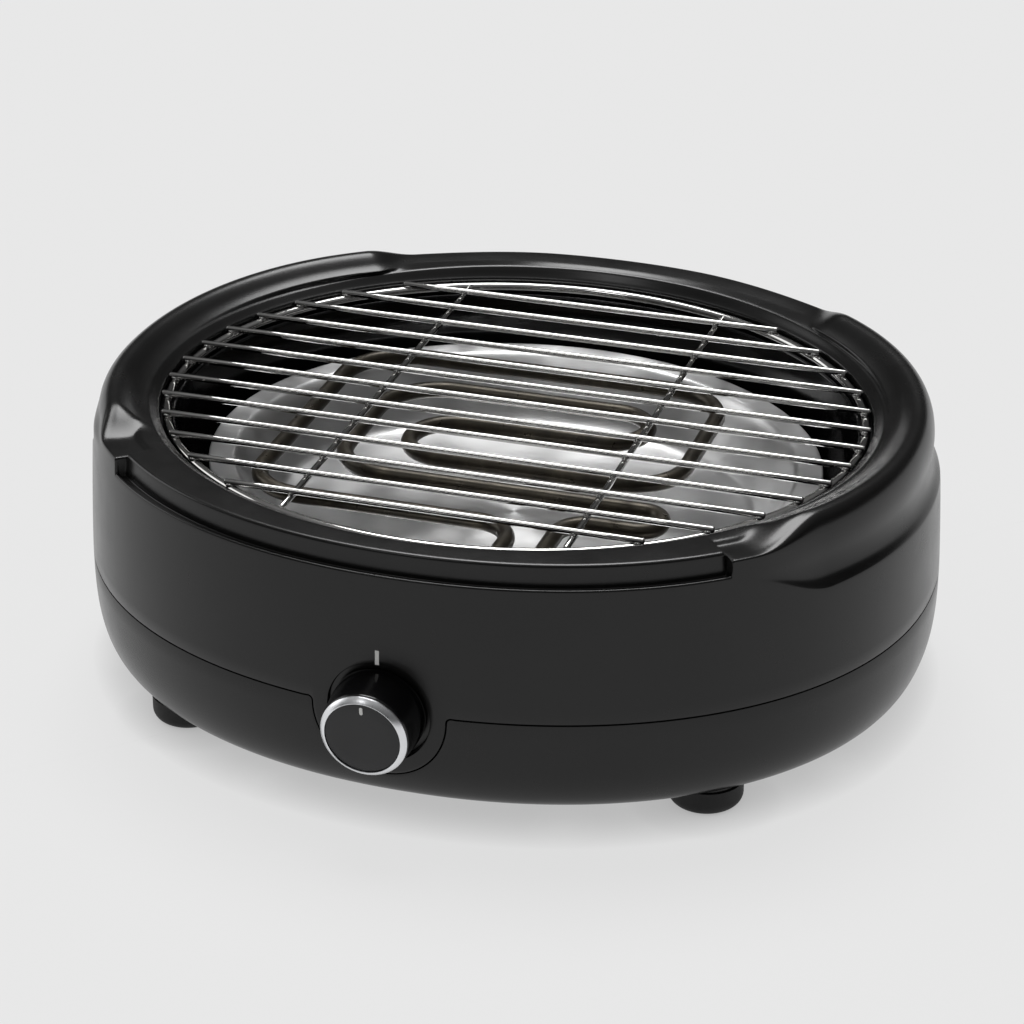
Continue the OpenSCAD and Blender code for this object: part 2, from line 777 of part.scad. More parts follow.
module socket_contacts() {
    color(BRASS) for (x = [cold_end_x, cold_end_2x])
        translate([x, cold_end_y, socket_top_z - socket_h + 2]) difference() {
            cylinder(r = pin_r + 1, h = socket_h - 4);
            translate([0, 0, 1]) cylinder(r = pin_r + slip, h = socket_h);
        }
}

module socket_bracket() {
    t = 1.5;
    foot_top = bottom_z + wall + 2;
    top = socket_top_z - socket_h;
    y = socket_bracket_y();
    color(STEEL) {
        translate([socket_mid_x() - 9, y - 6, top - t]) cube([18, 12, t]);
        translate([socket_mid_x() - 9, y - 6, foot_top + t]) cube([18, t, top - foot_top - 2 * t]);
        translate([socket_mid_x() - 9, y - 6, foot_top]) cube([18, 12, t]);
    }
}

module thermostat_body() {
    color(PHENOLIC) at_knob() difference() {
        translate([-body_size / 2, -body_size / 2, plug_back - body_depth])
            cube([body_size, body_size, body_depth]);
        translate([0, 0, plug_back - 12]) cylinder(r = spindle_r + slip, h = 20);
        for (x = [-14, 14]) translate([x, -body_size / 2, plug_back - 10]) rotate([90, 0, 0])
            translate([0, 0, -6]) cylinder(r = lead_r + lead_play, h = 12);
    }
}

module thermostat_bushing() {
    color(BRASS) at_knob() difference() {
        translate([0, 0, plug_back]) cylinder(r = bushing_r, h = dish_floor + nut_h + 1);
        translate([0, 0, plug_back - 1]) cylinder(r = spindle_r + slip, h = 20);
    }
}

module thermostat_nut() {
    color(STEEL) at_knob() difference() {
        translate([0, 0, -dish_depth]) cylinder(r = bushing_r + 3.2, h = nut_h, $fn = 6);
        translate([0, 0, -dish_depth - 1]) cylinder(r = bushing_r, h = 10);
    }
}

module knob_spindle() {
    flat_depth = 0.8;
    color(STEEL) at_knob() difference() {
        translate([0, 0, plug_back - 11.5]) cylinder(r = spindle_r, h = knob_reach - plug_back + 4);
        translate([-5, spindle_r - flat_depth, 1]) cube([10, 5, 40]);
    }
}

knob_foot = -dish_depth + 0.8;
bezel_h = 3;
bevel_h = 2.1;
bevel_w = 2.2;
cap_r = knob_face_r - 2.7;
knob_shell = 2.4;
hub_r = spindle_r + 3;

module knob_barrel() {
    top = knob_reach - bezel_h;
    color(GLOSS_BLACK) at_knob() {
        rotate_extrude($fn = 96) polygon([
            [knob_base_r, knob_foot],
            [knob_base_r, knob_foot + 5],
            [knob_face_r + 0.6, top - 4],
            [knob_face_r, top],
            [cap_r, top],
            [cap_r, knob_reach - 2],
            [0, knob_reach - 2],
            [0, knob_reach - 5],
            [knob_face_r - knob_shell - 0.6, top - 3],
            [knob_base_r - knob_shell, knob_foot]
        ]);
        difference() {
            translate([0, 0, 1]) cylinder(r = hub_r, h = knob_reach - 5);
            translate([0, 0, -1]) cylinder(r = spindle_r + slip, h = knob_reach - 3.5);
        }
    }
}

module knob_ring() {
    color(CHROME) at_knob() rotate_extrude($fn = 96) polygon([
        [knob_face_r, knob_reach - bezel_h],
        [knob_face_r, knob_reach - bevel_h],
        [knob_face_r - bevel_w, knob_reach],
        [cap_r + 0.1, knob_reach],
        [cap_r + 0.1, knob_reach - bezel_h]
    ]);
}

module knob_cap() {
    color(GLOSS_BLACK) at_knob() translate([0, 0, knob_reach - 2])
        cylinder(r = cap_r, h = 1.4, $fn = 96);
}

module knob_pointer() {
    color(WHITE) at_knob() translate([-0.75, cap_r - 5.4, knob_reach - 0.6]) cube([1.5, 3.8, 0.2]);
}

module dial_mark() {
    mark_h = 6.8;
    mark_z = knob_z + dish_r + 0.3;
    tilt = atan2(lean(mark_z + mark_h) - lean(mark_z), mark_h);
    color(WHITE) translate([knob_x - 0.9, -casing_y(knob_x, lean(mark_z)) - 0.15, mark_z])
        rotate([-tilt, 0, 0]) cube([1.8, 0.6, mark_h]);
}

module feet() {
    edge = 5.5;
    color(RUBBER) at_feet() difference() {
        rotate_extrude($fn = 64) polygon(concat(
            [[0, 0]],
            [for (k = [0:6]) [foot_r - edge + edge * sin(k * 15), edge - edge * cos(k * 15)]],
            [[foot_r, foot_h], [0, foot_h]]
        ));
        translate([0, 0, -1]) cylinder(r = head_r + 0.8, h = 5.5);
        translate([0, 0, -1]) cylinder(r = screw_r + 0.3, h = foot_h + 2);
    }
}

// Pan-head screw, head down, with its shank's foot at z = 0
module screw(length) {
    difference() {
        translate([0, 0, -head_h]) cylinder(r = head_r, h = head_h);
        for (turn = [0, 90]) rotate([0, 0, turn]) translate([-2, -0.4, -head_h - 1]) cube([4, 0.8, 2.2]);
    }
    cylinder(r = screw_r, h = length);
}

module foot_screws() {
    color(STEEL) at_feet() translate([0, 0, 4.5]) screw(foot_h - 4.5 + 6);
}

module shell_screws() {
    color(STEEL) at_shell_screws() translate([0, 0, bottom_z + 13]) screw(pillar_foot_z - bottom_z - 2);
}

module basin_posts() {
    color(STEEL) at_posts() difference() {
        union() {
            translate([0, 0, floor_z]) cylinder(r = post_r + 2, h = shield_z - floor_z);
            translate([0, 0, shield_z]) cylinder(r = post_r, h = basin_bottom_z - shield_z);
        }
        translate([0, 0, floor_z - 1]) cylinder(r = screw_r, h = 14);
    }
}

module post_screws() {
    color(STEEL) at_posts() translate([0, 0, bottom_z]) screw(wall + 10);
}

module heat_shield() {
    shield_w = 2 * (post_x + 35);
    shield_d = 2 * (post_y + 30);
    corner = 30;
    color(STEEL) difference() {
        translate([0, 0, shield_z]) linear_extrude(shield_t) union() {
            square([shield_w, shield_d - 2 * corner], center = true);
            square([shield_w - 2 * corner, shield_d], center = true);
            for (x = [-1, 1], y = [-1, 1])
                translate([x * (shield_w / 2 - corner), y * (shield_d / 2 - corner)]) circle(r = corner);
        }
        at_posts() translate([0, 0, shield_z - 1]) cylinder(r = post_r + slip, h = 4);
    }
}

module thermal_cutout() {
    color(CERAMIC) translate([-30, 40, 0]) {
        translate([0, 0, basin_bottom_z - 1.2]) linear_extrude(1.2) square([28, 12], center = true);
        translate([0, 0, basin_bottom_z - 8]) cylinder(r = 8, h = 6.8);
    }
}

terminal_y = casing_b - 59.8;

module terminal_block() {
    color(WHITE) translate([0, terminal_y, floor_z]) difference() {
        translate([-21, -9, 0]) cube([42, 18, 14]);
        for (x = [-14, 0, 14]) {
            translate([x, -10, 6]) rotate([-90, 0, 0]) cylinder(r = 1.8, h = 20);
            translate([x, 0, 6]) cylinder(r = 1.6, h = 10);
        }
    }
}

module terminal_screws() {
    color(BRASS) for (x = [-14, 0, 14]) translate([x, terminal_y, floor_z + 8.2]) difference() {
        cylinder(r = 1.55, h = 5);
        translate([-2, -0.3, 4]) cube([4, 0.6, 2]);
    }
}

inlet_flange_r = 9.5;
inlet_body_r = 6.9;
lock_ring_t = 2;

// Frame of the cord inlet: origin on its axis at the seat of its flange, +Z out
module at_inlet() {
    translate([0, casing_b - corner_inset(inlet_z) - 1, inlet_z]) rotate([-90, 0, 0]) children();
}

module cord_inlet() {
    color(RUBBER) at_inlet() difference() {
        union() {
            cylinder(r = inlet_flange_r, h = 3.2);
            translate([0, 0, -11]) cylinder(r = inlet_body_r, h = 12);
        }
        translate([0, 0, -12]) cylinder(r = inlet_bore_r, h = 20);
    }
}

module inlet_lock_ring() {
    back = corner_inset(inlet_z - inlet_flange_r - wall) - corner_inset(inlet_z) + wall + seat - 1;
    color(STEEL) at_inlet() translate([0, 0, -back - lock_ring_t]) difference() {
        cylinder(r = inlet_flange_r, h = lock_ring_t);
        translate([0, 0, -1]) cylinder(r = inlet_body_r, h = lock_ring_t + 2);
    }
}

// Leads between the terminals, the thermostat and the socket
lead_r = 1.4;
lead_play = 1.2;
lead_run_x = 34;
lead_run_y = 50;
lead_run_z = 24;
lead_rise = 28;
function at_knob_point(p) =
    let (c = cos(90 + knob_tilt), s = sin(90 + knob_tilt))
    [knob_x + p[0], -casing_y(knob_x) + p[1] * c - p[2] * s, knob_z + p[1] * s + p[2] * c];

module live_lead() {
    tab = at_knob_point([-14, -body_size / 2 + 5, plug_back - 10]);
    color(BROWN) lead([
        [-14, terminal_y - 5, floor_z + 6], [-16, terminal_y - lead_rise, floor_z + 6],
        [4 - lead_run_x, lead_run_y, lead_run_z + 2], [-lead_run_x, 0, lead_run_z],
        [2 - lead_run_x, -1.2 * lead_run_y, lead_run_z], [6 - lead_run_x, -2.4 * lead_run_y, lead_run_z + 2],
        [tab[0] - 1, tab[1] + 4, lead_run_z + 5], [tab[0], tab[1], tab[2] - 8], tab
    ], lead_r);
}

module neutral_lead() {
    tail = [cold_end_x, cold_end_y, socket_top_z - socket_h];
    color(BLUE) lead([
        [14, terminal_y - 5, floor_z + 6], [16, terminal_y - lead_rise, floor_z + 6],
        [lead_run_x - 6, lead_run_y, lead_run_z + 2], [lead_run_x, 0, lead_run_z],
        [lead_run_x - 2, -1.2 * lead_run_y, lead_run_z], [lead_run_x - 6, tail[1] + 19.5, lead_run_z + 4],
        [tail[0] - 2, tail[1] + 7, tail[2] - 23], [tail[0] - 3, tail[1] + 3, tail[2] - 7],
        [tail[0], tail[1] + 2, tail[2] + 0.4]
    ], lead_r);
}

module socket_lead() {
    tab = at_knob_point([14, -body_size / 2 + 5, plug_back - 10]);
    tail = [cold_end_2x, cold_end_y, socket_top_z - socket_h];
    color(BROWN) lead([
        tab, [tab[0], tab[1], tab[2] - 8], [tab[0] + 5, tab[1] + 7, 31], [tab[0] + 18, tab[1] + 22, 34],
        [tail[0] + 6, tail[1] + 7, 44], [tail[0] + 6, tail[1] + 3, 60],
        [tail[0] + 2, tail[1] + 2, tail[2] + 0.4]
    ], lead_r);
}

// ---- Nodes ----

upper_shell();
lower_shell();
basin();
rack_ring();
rack_bars();
rack_cross_wires();
drip_tray();
heating_tube();
tube_end_collars();
contact_pins();
element_socket();
socket_contacts();
socket_bracket();
thermostat_body();
thermostat_bushing();
thermostat_nut();
knob_spindle();
knob_barrel();
knob_ring();
knob_cap();
knob_pointer();
dial_mark();
feet();
foot_screws();
shell_screws();
basin_posts();
post_screws();
heat_shield();
thermal_cutout();
terminal_block();
terminal_screws();
cord_inlet();
inlet_lock_ring();
live_lead();
neutral_lead();
socket_lead();
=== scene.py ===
"""Looks of the countertop grill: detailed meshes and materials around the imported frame.

Shapes are worked out in millimetres in the frame's axes (+X right, +Y back, +Z up) and are
turned into metres when a mesh is made.
"""

import math

import bmesh
import bpy
import numpy as np
from mathutils import Matrix, Vector


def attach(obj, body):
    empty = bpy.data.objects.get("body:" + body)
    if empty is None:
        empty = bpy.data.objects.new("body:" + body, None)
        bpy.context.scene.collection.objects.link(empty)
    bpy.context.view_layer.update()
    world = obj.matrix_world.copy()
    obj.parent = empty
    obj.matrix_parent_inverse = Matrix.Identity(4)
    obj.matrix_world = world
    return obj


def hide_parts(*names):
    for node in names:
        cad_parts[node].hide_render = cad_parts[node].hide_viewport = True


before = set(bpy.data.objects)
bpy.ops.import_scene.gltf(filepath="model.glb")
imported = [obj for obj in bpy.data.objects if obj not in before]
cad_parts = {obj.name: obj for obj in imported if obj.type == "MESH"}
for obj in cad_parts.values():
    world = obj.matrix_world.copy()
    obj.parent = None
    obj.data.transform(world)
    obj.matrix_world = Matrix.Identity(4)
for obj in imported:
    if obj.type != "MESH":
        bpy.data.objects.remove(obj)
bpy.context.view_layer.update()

MM = 0.001

# ---- Driving sizes, in millimetres ----
RACK_W, RACK_D, RACK_Z = 332.0, 296.0, 128.0
RING_D, BAR_D, BAR_COUNT, BAR_PITCH, BAR_OVERHANG = 4.6, 3.0, 13, 20.2, 2.8
CROSS_SPACING, WELD_SINK = 132.0, 0.4
RIM_SIDE_W, RIM_FRONT_W = 37.3, 29.8
WALL, WALL_LEAN, SEAM_Z, SEAM_GAP, CORNER_W = 2.8, 3.4, 60.6, 0.6, 20.5
NOTCH_RIGHT, NOTCH_LEFT = 47.2, 53.0
CREST_GAIN, BACK_GAIN, RIDGE_GAIN = 2.3, 1.4, 1.7
KNOB_Z, KNOB_X, KNOB_TILT = 58.0, -6.0, 4.0
KNOB_BASE_R, KNOB_FACE_R, KNOB_REACH, TONGUE_R, DISH_DEPTH = 21.6, 20.0, 20.0, 31.0, 4.0
TUBE_D, TUBE_Z, COLD_PITCH, COLD_X = 8.0, 109.0, 19.0, 27.0
FLANGE_W, TRAY_T, TRAY_RIM_Z, TRAY_DEPTH = 10.0, 0.8, 104.0, 30.0
TRAY_GAP_SIDE, TRAY_GAP_FRONT, BASIN_T, BASIN_LEAN = 15.5, 12.5, 1.2, 4.0
FOOT_R, FOOT_H, FOOT_X, FOOT_Y = 17.2, 12.3, 125.5, 109.5
MOUTH_GAP_SIDE, MOUTH_GAP_FRONT, RIM_H = 3.5, 4.5, 34
TONGUE_FILLET, INLET_Z = 2.5, 38.0

POWER, CORNER_POWER = 2.1, 3.0
CASING_A, CASING_B = RACK_W / 2 + RIM_SIDE_W, RACK_D / 2 + RIM_FRONT_W
MOUTH_A, MOUTH_B = RACK_W / 2 + MOUTH_GAP_SIDE, RACK_D / 2 + MOUTH_GAP_FRONT
MOUTH_Z = RACK_Z + 3
BOTTOM_Z = FOOT_H
FLOOR_Z = BOTTOM_Z + WALL
SEAT = 0.3
LEDGE_Z, LEDGE_W = RACK_Z - RING_D / 2 - SEAT, 3.5
BASIN_A, BASIN_B = RACK_W / 2 - LEDGE_W, RACK_D / 2 - LEDGE_W
TRAY_A, TRAY_B = BASIN_A - TRAY_GAP_SIDE, BASIN_B - TRAY_GAP_FRONT
TRAY_FLOOR_Z = TRAY_RIM_Z - TRAY_DEPTH
BASIN_FLOOR_Z = TRAY_FLOOR_Z - TRAY_T - SEAT
BASIN_BOTTOM_Z = BASIN_FLOOR_Z - BASIN_T
DISH_R = KNOB_BASE_R + 2.4
PLUG_BACK = -DISH_DEPTH - 3
BAR_Z = RACK_Z + RING_D / 2 + BAR_D / 2 - WELD_SINK
GROOVE_RUN, FALL_TURN = 13.0, 9.0
# On the right and on the left: length of the ramp up to the handle, end of the low front edge,
# start of the ramp, start of the finger groove, and start of the handle's fall to the back rim,
# as turns from the front
RAMP = (12.0, 8.0)
NOTCH = (NOTCH_RIGHT, NOTCH_LEFT)
RAMP_START = (NOTCH_RIGHT + 3.5, NOTCH_LEFT + 5.5)
GROOVE_START = (NOTCH_RIGHT + 2.5, NOTCH_LEFT + 12)
FALL_START = (133.0, 137.0)

# ---- Small maths ----


def oval_r(a, b, t, power=2.0):
    """Distance from the middle to an oval at the polar angle t, in degrees."""
    t = np.radians(t)
    return (np.abs(np.cos(t) / a) ** power + np.abs(np.sin(t) / b) ** power) ** (-1 / power)


def oval_xyz(a, b, t, inset, z, power=2.0):
    """Points at the polar angles t on an oval that is pulled in by inset."""
    r = oval_r(a, b, t, power) - inset
    t = np.radians(t)
    return np.stack(np.broadcast_arrays(r * np.cos(t), r * np.sin(t), z), -1)


def casing_xyz(t, inset, z):
    return oval_xyz(CASING_A, CASING_B, t, inset, z, POWER)


def ease(x):
    u = np.clip(x, 0, 1)
    return u * u * (3 - 2 * u)


def lean(z):
    """How far the upper wall has leant in at the height z."""
    return WALL_LEAN * (np.maximum(0, z - SEAM_Z) / (MOUTH_Z - SEAM_Z)) ** 1.3


def corner_inset(z):
    """How far the lower wall has turned in at the height z."""
    u = np.clip((SEAM_Z - z) / (SEAM_Z - BOTTOM_Z), 0, 1)
    return CORNER_W * (1 - (1 - u**CORNER_POWER) ** (1 / CORNER_POWER))


def wall_inset(z):
    return lean(z) + corner_inset(z)


def casing_front_y(x):
    return -CASING_B * (1 - (abs(x) / CASING_A) ** POWER) ** (1 / POWER)


def rounded(points, steps):
    """Smooth curve through rows of control points (..., count, size): a quadratic B-spline."""
    p = np.asarray(points, float)
    mid = (p[..., 1:, :] + p[..., :-1, :]) / 2
    start = np.concatenate([p[..., :1, :], mid[..., 1:-1, :]], -2)
    end = np.concatenate([mid[..., 1:-1, :], p[..., -1:, :]], -2)
    control = p[..., 1:-1, :]
    out = []
    for k in range(steps):
        u = k / steps
        out.append((1 - u) ** 2 * start + 2 * u * (1 - u) * control + u * u * end)
    stack = np.stack(out, -2)
    flat = stack.reshape(*stack.shape[:-3], -1, stack.shape[-1])
    return np.concatenate([flat, p[..., -1:, :]], -2)


# ---- Mesh making ----
SHARP = 35.0  # degrees between two faces from which their edge is drawn sharp
WELD = 0.004  # points closer than this, in millimetres, become one


def grid_faces(rows, columns, close_rows, close_columns):
    """Quads between neighbouring rows of points."""
    i = np.arange(rows if close_rows else rows - 1)[:, None]
    j = np.arange(columns if close_columns else columns - 1)[None, :]
    a, b, k = i * columns, ((i + 1) % rows) * columns, (j + 1) % columns
    return np.stack([a + j, a + k, b + k, b + j], -1).reshape(-1, 4).tolist()


def add_object(name, data):
    obj = bpy.data.objects.new(name, data)
    bpy.context.scene.collection.objects.link(obj)
    return obj


class Solid:
    """Gathers points, in millimetres, and faces for one mesh."""

    def __init__(self):
        self.points, self.faces = [], []

    def add(self, points, faces):
        start = len(self.points)
        self.points += np.asarray(points, float).reshape(-1, 3).tolist()
        self.faces += [[start + i for i in f] for f in faces]

    def grid(self, points, close_rows=False, close_columns=False):
        rows, columns = points.shape[:2]
        self.add(points, grid_faces(rows, columns, close_rows, close_columns))

    def fan(self, ring, centre):
        count = len(ring)
        faces = [(i, (i + 1) % count, count) for i in range(count)]
        self.add(np.vstack([ring, [centre]]), faces)

    def strip(self, one, other, close=False):
        """Quads between two rows of as many points."""
        self.grid(np.stack([one, other]), close_columns=close)

    def make(self, name, material, sharp=SHARP):
        mesh = bpy.data.meshes.new(name)
        mesh.from_pydata((np.array(self.points) * MM).tolist(), [], self.faces)
        bm = bmesh.new()
        bm.from_mesh(mesh)
        bmesh.ops.remove_doubles(bm, verts=bm.verts, dist=WELD * MM)
        bmesh.ops.recalc_face_normals(bm, faces=bm.faces)
        bm.to_mesh(mesh)
        bm.free()
        mesh.polygons.foreach_set("use_smooth", [True] * len(mesh.polygons))
        mesh.set_sharp_from_angle(angle=math.radians(sharp))
        mesh.materials.append(material)
        return add_object(name, mesh)


def stand_in(obj, node, body):
    """obj is shown in the place of a CAD node."""
    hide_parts(node)
    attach(obj, body)


def carve(obj, cutter):
    """Takes closed solids out of obj, for good."""
    tool = cutter.make("cutter", obj.data.materials[0])
    cut = obj.modifiers.new("cut", "BOOLEAN")
    cut.operation, cut.solver, cut.object = "DIFFERENCE", "EXACT", tool
    graph = bpy.context.evaluated_depsgraph_get()
    mesh = bpy.data.meshes.new_from_object(obj.evaluated_get(graph))
    obj.modifiers.clear()
    old = obj.data
    obj.data = mesh
    bpy.data.meshes.remove(old)
    bpy.data.objects.remove(tool)
    mesh.polygons.foreach_set("use_smooth", [True] * len(mesh.polygons))
    mesh.set_sharp_from_angle(angle=math.radians(SHARP))


def merge(obj, solid):
    """Adds another closed solid to obj's mesh."""
    extra = solid.make("extra", obj.data.materials[0])
    bm = bmesh.new()
    bm.from_mesh(obj.data)
    bm.from_mesh(extra.data)
    bm.to_mesh(obj.data)
    bm.free()
    old = extra.data
    bpy.data.objects.remove(extra)
    bpy.data.meshes.remove(old)
    obj.data.set_sharp_from_angle(angle=math.radians(SHARP))


def lathe(solid, profile, count, place, closed=False):
    """Adds a profile [(radius, height)] turned about +Z and placed; radius 0 ends it in a point."""
    turn = np.radians(np.arange(count) * 360 / count)
    m = np.array(place)
    tips = [(i, profile[i][1]) for i in (0, -1) if profile[i][0] == 0]
    p = np.array([q for q in profile if q[0] != 0], float)
    points = np.stack(
        [p[:, :1] * np.cos(turn), p[:, :1] * np.sin(turn), p[:, 1:] + 0 * turn], -1
    )
    points = points @ m[:3, :3].T + m[:3, 3]
    solid.grid(points, close_rows=closed, close_columns=True)
    for i, z in tips:
        solid.fan(points[i], m[:3, 3] + m[:3, :3] @ np.array([0, 0, z]))


def arc(x, z, r, start, end, count):
    """Profile points on an arc about (x, z), angles in degrees."""
    t = np.radians(np.linspace(start, end, count))
    return [(x + r * c, z + r * s) for c, s in zip(np.cos(t), np.sin(t))]


def box_solid(low, high):
    solid = Solid()
    corners = [[(low, high)[(i >> a) & 1][a] for a in range(3)] for i in range(8)]
    faces = [(0, 1, 3, 2), (4, 6, 7, 5), (0, 4, 5, 1), (2, 3, 7, 6), (0, 2, 6, 4), (1, 5, 7, 3)]
    solid.add(corners, faces)
    return solid


def tube(solid, path, r, sides, closed=False, crown=1.0):
    """Round bar along a path of points; unless closed, its ends are domes crown * r high."""
    path = np.asarray(path, float)
    if closed:
        ahead = np.roll(path, -1, 0) - np.roll(path, 1, 0)
    else:
        ahead = np.gradient(path, axis=0)
    ahead /= np.linalg.norm(ahead, axis=1)[:, None]
    side = np.zeros_like(path)
    guess = np.array([0.0, 0.0, 1.0]) if abs(ahead[0][2]) < 0.9 else np.array([1.0, 0.0, 0.0])
    for i, t in enumerate(ahead):
        guess = guess - t * guess.dot(t)
        guess /= np.linalg.norm(guess)
        side[i] = guess
    other = np.cross(ahead, side)
    turn = np.radians(np.arange(sides) * 360 / sides)
    ring = np.cos(turn)[:, None] * side[:, None, :] + np.sin(turn)[:, None] * other[:, None, :]
    solid.grid(path[:, None, :] + r * ring, close_rows=closed, close_columns=True)
    if closed:
        return
    for i, sign in ((0, -1), (-1, 1)):
        rows = [path[i] + r * ring[i]]
        for u in (25, 50, 72):
            c, s = math.cos(math.radians(u)), math.sin(math.radians(u))
            rows.append(path[i] + r * c * ring[i] + sign * r * s * crown * ahead[i])
        solid.grid(np.stack(rows), close_columns=True)
        solid.fan(rows[-1], rows[-1].mean(0) + sign * 0.02 * r * ahead[i])


# ---- Knob frame: origin on the knob's axis at the casing's wall, +Z out along the axis ----
KNOB_PLACE = Matrix.Translation((KNOB_X, casing_front_y(KNOB_X), KNOB_Z)) @ Matrix.Rotation(
    math.radians(90 + KNOB_TILT), 4, "X"
)
KNOB_M = np.array(KNOB_PLACE)


def polar(p):
    return np.degrees(np.arctan2(p[..., 1], p[..., 0]))


def from_knob(u, v, s):
    p = np.stack(np.broadcast_arrays(u, v, s), -1).astype(float)
    return p @ KNOB_M[:3, :3].T + KNOB_M[:3, 3]


def on_wall(u, v, depth=0.0):
    """Points on the casing's wall, seen along the knob's axis at (u, v); depth goes inward."""
    low, high = np.full(np.shape(u), -40.0), np.full(np.shape(u), 25.0)
    for _ in range(40):
        s = (low + high) / 2
        p = from_knob(u, v, s)
        out = np.hypot(p[..., 0], p[..., 1]) > (
            oval_r(CASING_A, CASING_B, polar(p), POWER) - wall_inset(p[..., 2]) - depth
        )
        high = np.where(out, s, high)
        low = np.where(out, low, s)
    return from_knob(u, v, (low + high) / 2)


# ---- Casing ----
# Rim sections from the outer wall over the rim and down inside: (inset from the leaning wall,
# height over the mouth's edge). The points of MOUTH count their inset from the mouth.
FRONT = [
    (0, -34), (0, -25), (0, -19), (0, -14), (0, -10), (0, -7.6), (0.18, -6.8), (0.6, -6.45),
    (1.15, -6.42), (1.65, -6.8), (1.85, -7.6), (2.4, -7.9), (4.3, -7.9), (4.9, -7.7), (5, -6.6),
    (5.3, -1), (5.42, 1.4), (5.75, 2.3), (6.6, 2.8), (8, 2.9),
    (9, -0.4), (8.2, -10.8), (4.8, -11.2), (2.8, -14.4), (2.8, -20), (2.8, -26), (2.8, -34),
]
SHELF = [
    (0, -34), (0, -12), (0, -11), (0, -10), (0, -9), (0, -6), (0, -3), (0, -0.4),
    (0.1, 0.6), (0.5, 1.05), (1.2, 1.15), (2.4, 1.2), (4, 1.2), (6, 1.2), (8, 1.2),
    (10.5, 1.2), (13, 1.25), (15, 1.5), (16.6, 2.6), (18, 3.1),
    (12, -1.6), (8, -1.7), (4.8, -1.8), (3.2, -5), (2.8, -14), (2.8, -26), (2.8, -34),
]
HANDLE = [
    (0, -34), (0, -24.9), (0.4, -23.7), (3.3, -19.4), (3.7, -13), (2.9, -7.5), (2.5, -3),
    (2.7, 1), (3.3, 4), (4.4, 6.5), (5.8, 8.2), (7.6, 9.3), (9.7, 9.6), (11.8, 9.3),
    (14, 8.3), (16.2, 7), (18.2, 5.7), (20.2, 4.7), (22, 4), (23.6, 3.5),
    (21.5, 0.8), (14.4, 5.2), (10, 6.2), (7, 2.6), (6.4, -13), (5.8, -22), (2.8, -34),
]
BACK = [
    (0, -34), (0, -25), (0, -19), (0, -14), (0, -9), (0, -6), (0, -3.5), (0, -1),
    (0.1, 1.2), (0.3, 2.8), (0.7, 4), (1.3, 4.7), (2.1, 5), (3.2, 5.1), (4.6, 5.05),
    (6.2, 5), (7.8, 4.9), (9.6, 4.75), (11.4, 4.6), (13.2, 4.4),
    (12.4, 1), (8.6, 1.8), (5, 1.4), (3.2, -3), (2.8, -14), (2.8, -26), (2.8, -34),
]
# Each point's share in the crest's rise along the handle, and in the length of the front ramp
TOP_SHARE = np.array([0] * 7 + [0.3, 0.6] + [1] * 11 + [0.6, 1, 1, 0.6, 0, 0, 0])
RAMP_SHARE = np.array([1] * 12 + [1 - 0.092 * k for k in range(8)] + [1] * 7)
GROOVE = slice(1, 7)  # points of the finger groove
OUTER = 20  # points from the outer wall over the rim, before the mouth's own
RIDGE = 3  # the mouth's points that rise towards the back
MOUTH = [
    (-6.2, 3.35), (-5, 3.1), (-4.3, 2.75), (-1.3, 0.6), (-0.2, 0.1), (0, -0.8), (0, -3),
    (-0.6, -3.8), (-2.4, -4),
]
# Turns about the end of the low front edge, and the shelf's share in the section there
STEP = [-0.35, -0.2, -0.1, -0.04, 0.04, 0.1, 0.2, 0.35]
STEP_SHARE = [0, 0.015, 0.06, 0.12, 0.88, 0.94, 0.985, 1]
RIM_FOOT_Z = MOUTH_Z - RIM_H
EDGE, EDGE_MID = 0.35, 0.1  # turned-over edge of a shell at the seam
SEAM_ROWS = 7
FILLET_TURNS = (0, 15, 30, 45, 60, 75, 90)  # where the seam turns into the tongue
PILLAR_INSET, PILLAR_R, PILLAR_FOOT_Z = 16.0, 5.0, 34.0
PILLAR_BORE_R, PILLAR_BORE_H = 1.75, 15
SCREW_ANGLES = (20, 65, 115, 160, 200, 245, 295, 340)
SCREW_ACCESS_R = 4
VENT_X, VENT_Y, VENT_W, VENT_L = np.arange(-60, 61, 12), (-30, 30), 4, 40
POST_X, POST_Y, POST_BORE_R = (-90, 90), (-70, 70), 1.95
PAD_R, PAD_H = FOOT_R - 1, 6.0


def by_side(t, pair):
    """The right or the left of a pair of values, for the polar angles t."""
    return np.where(np.cos(np.radians(t)) > 0, *pair)


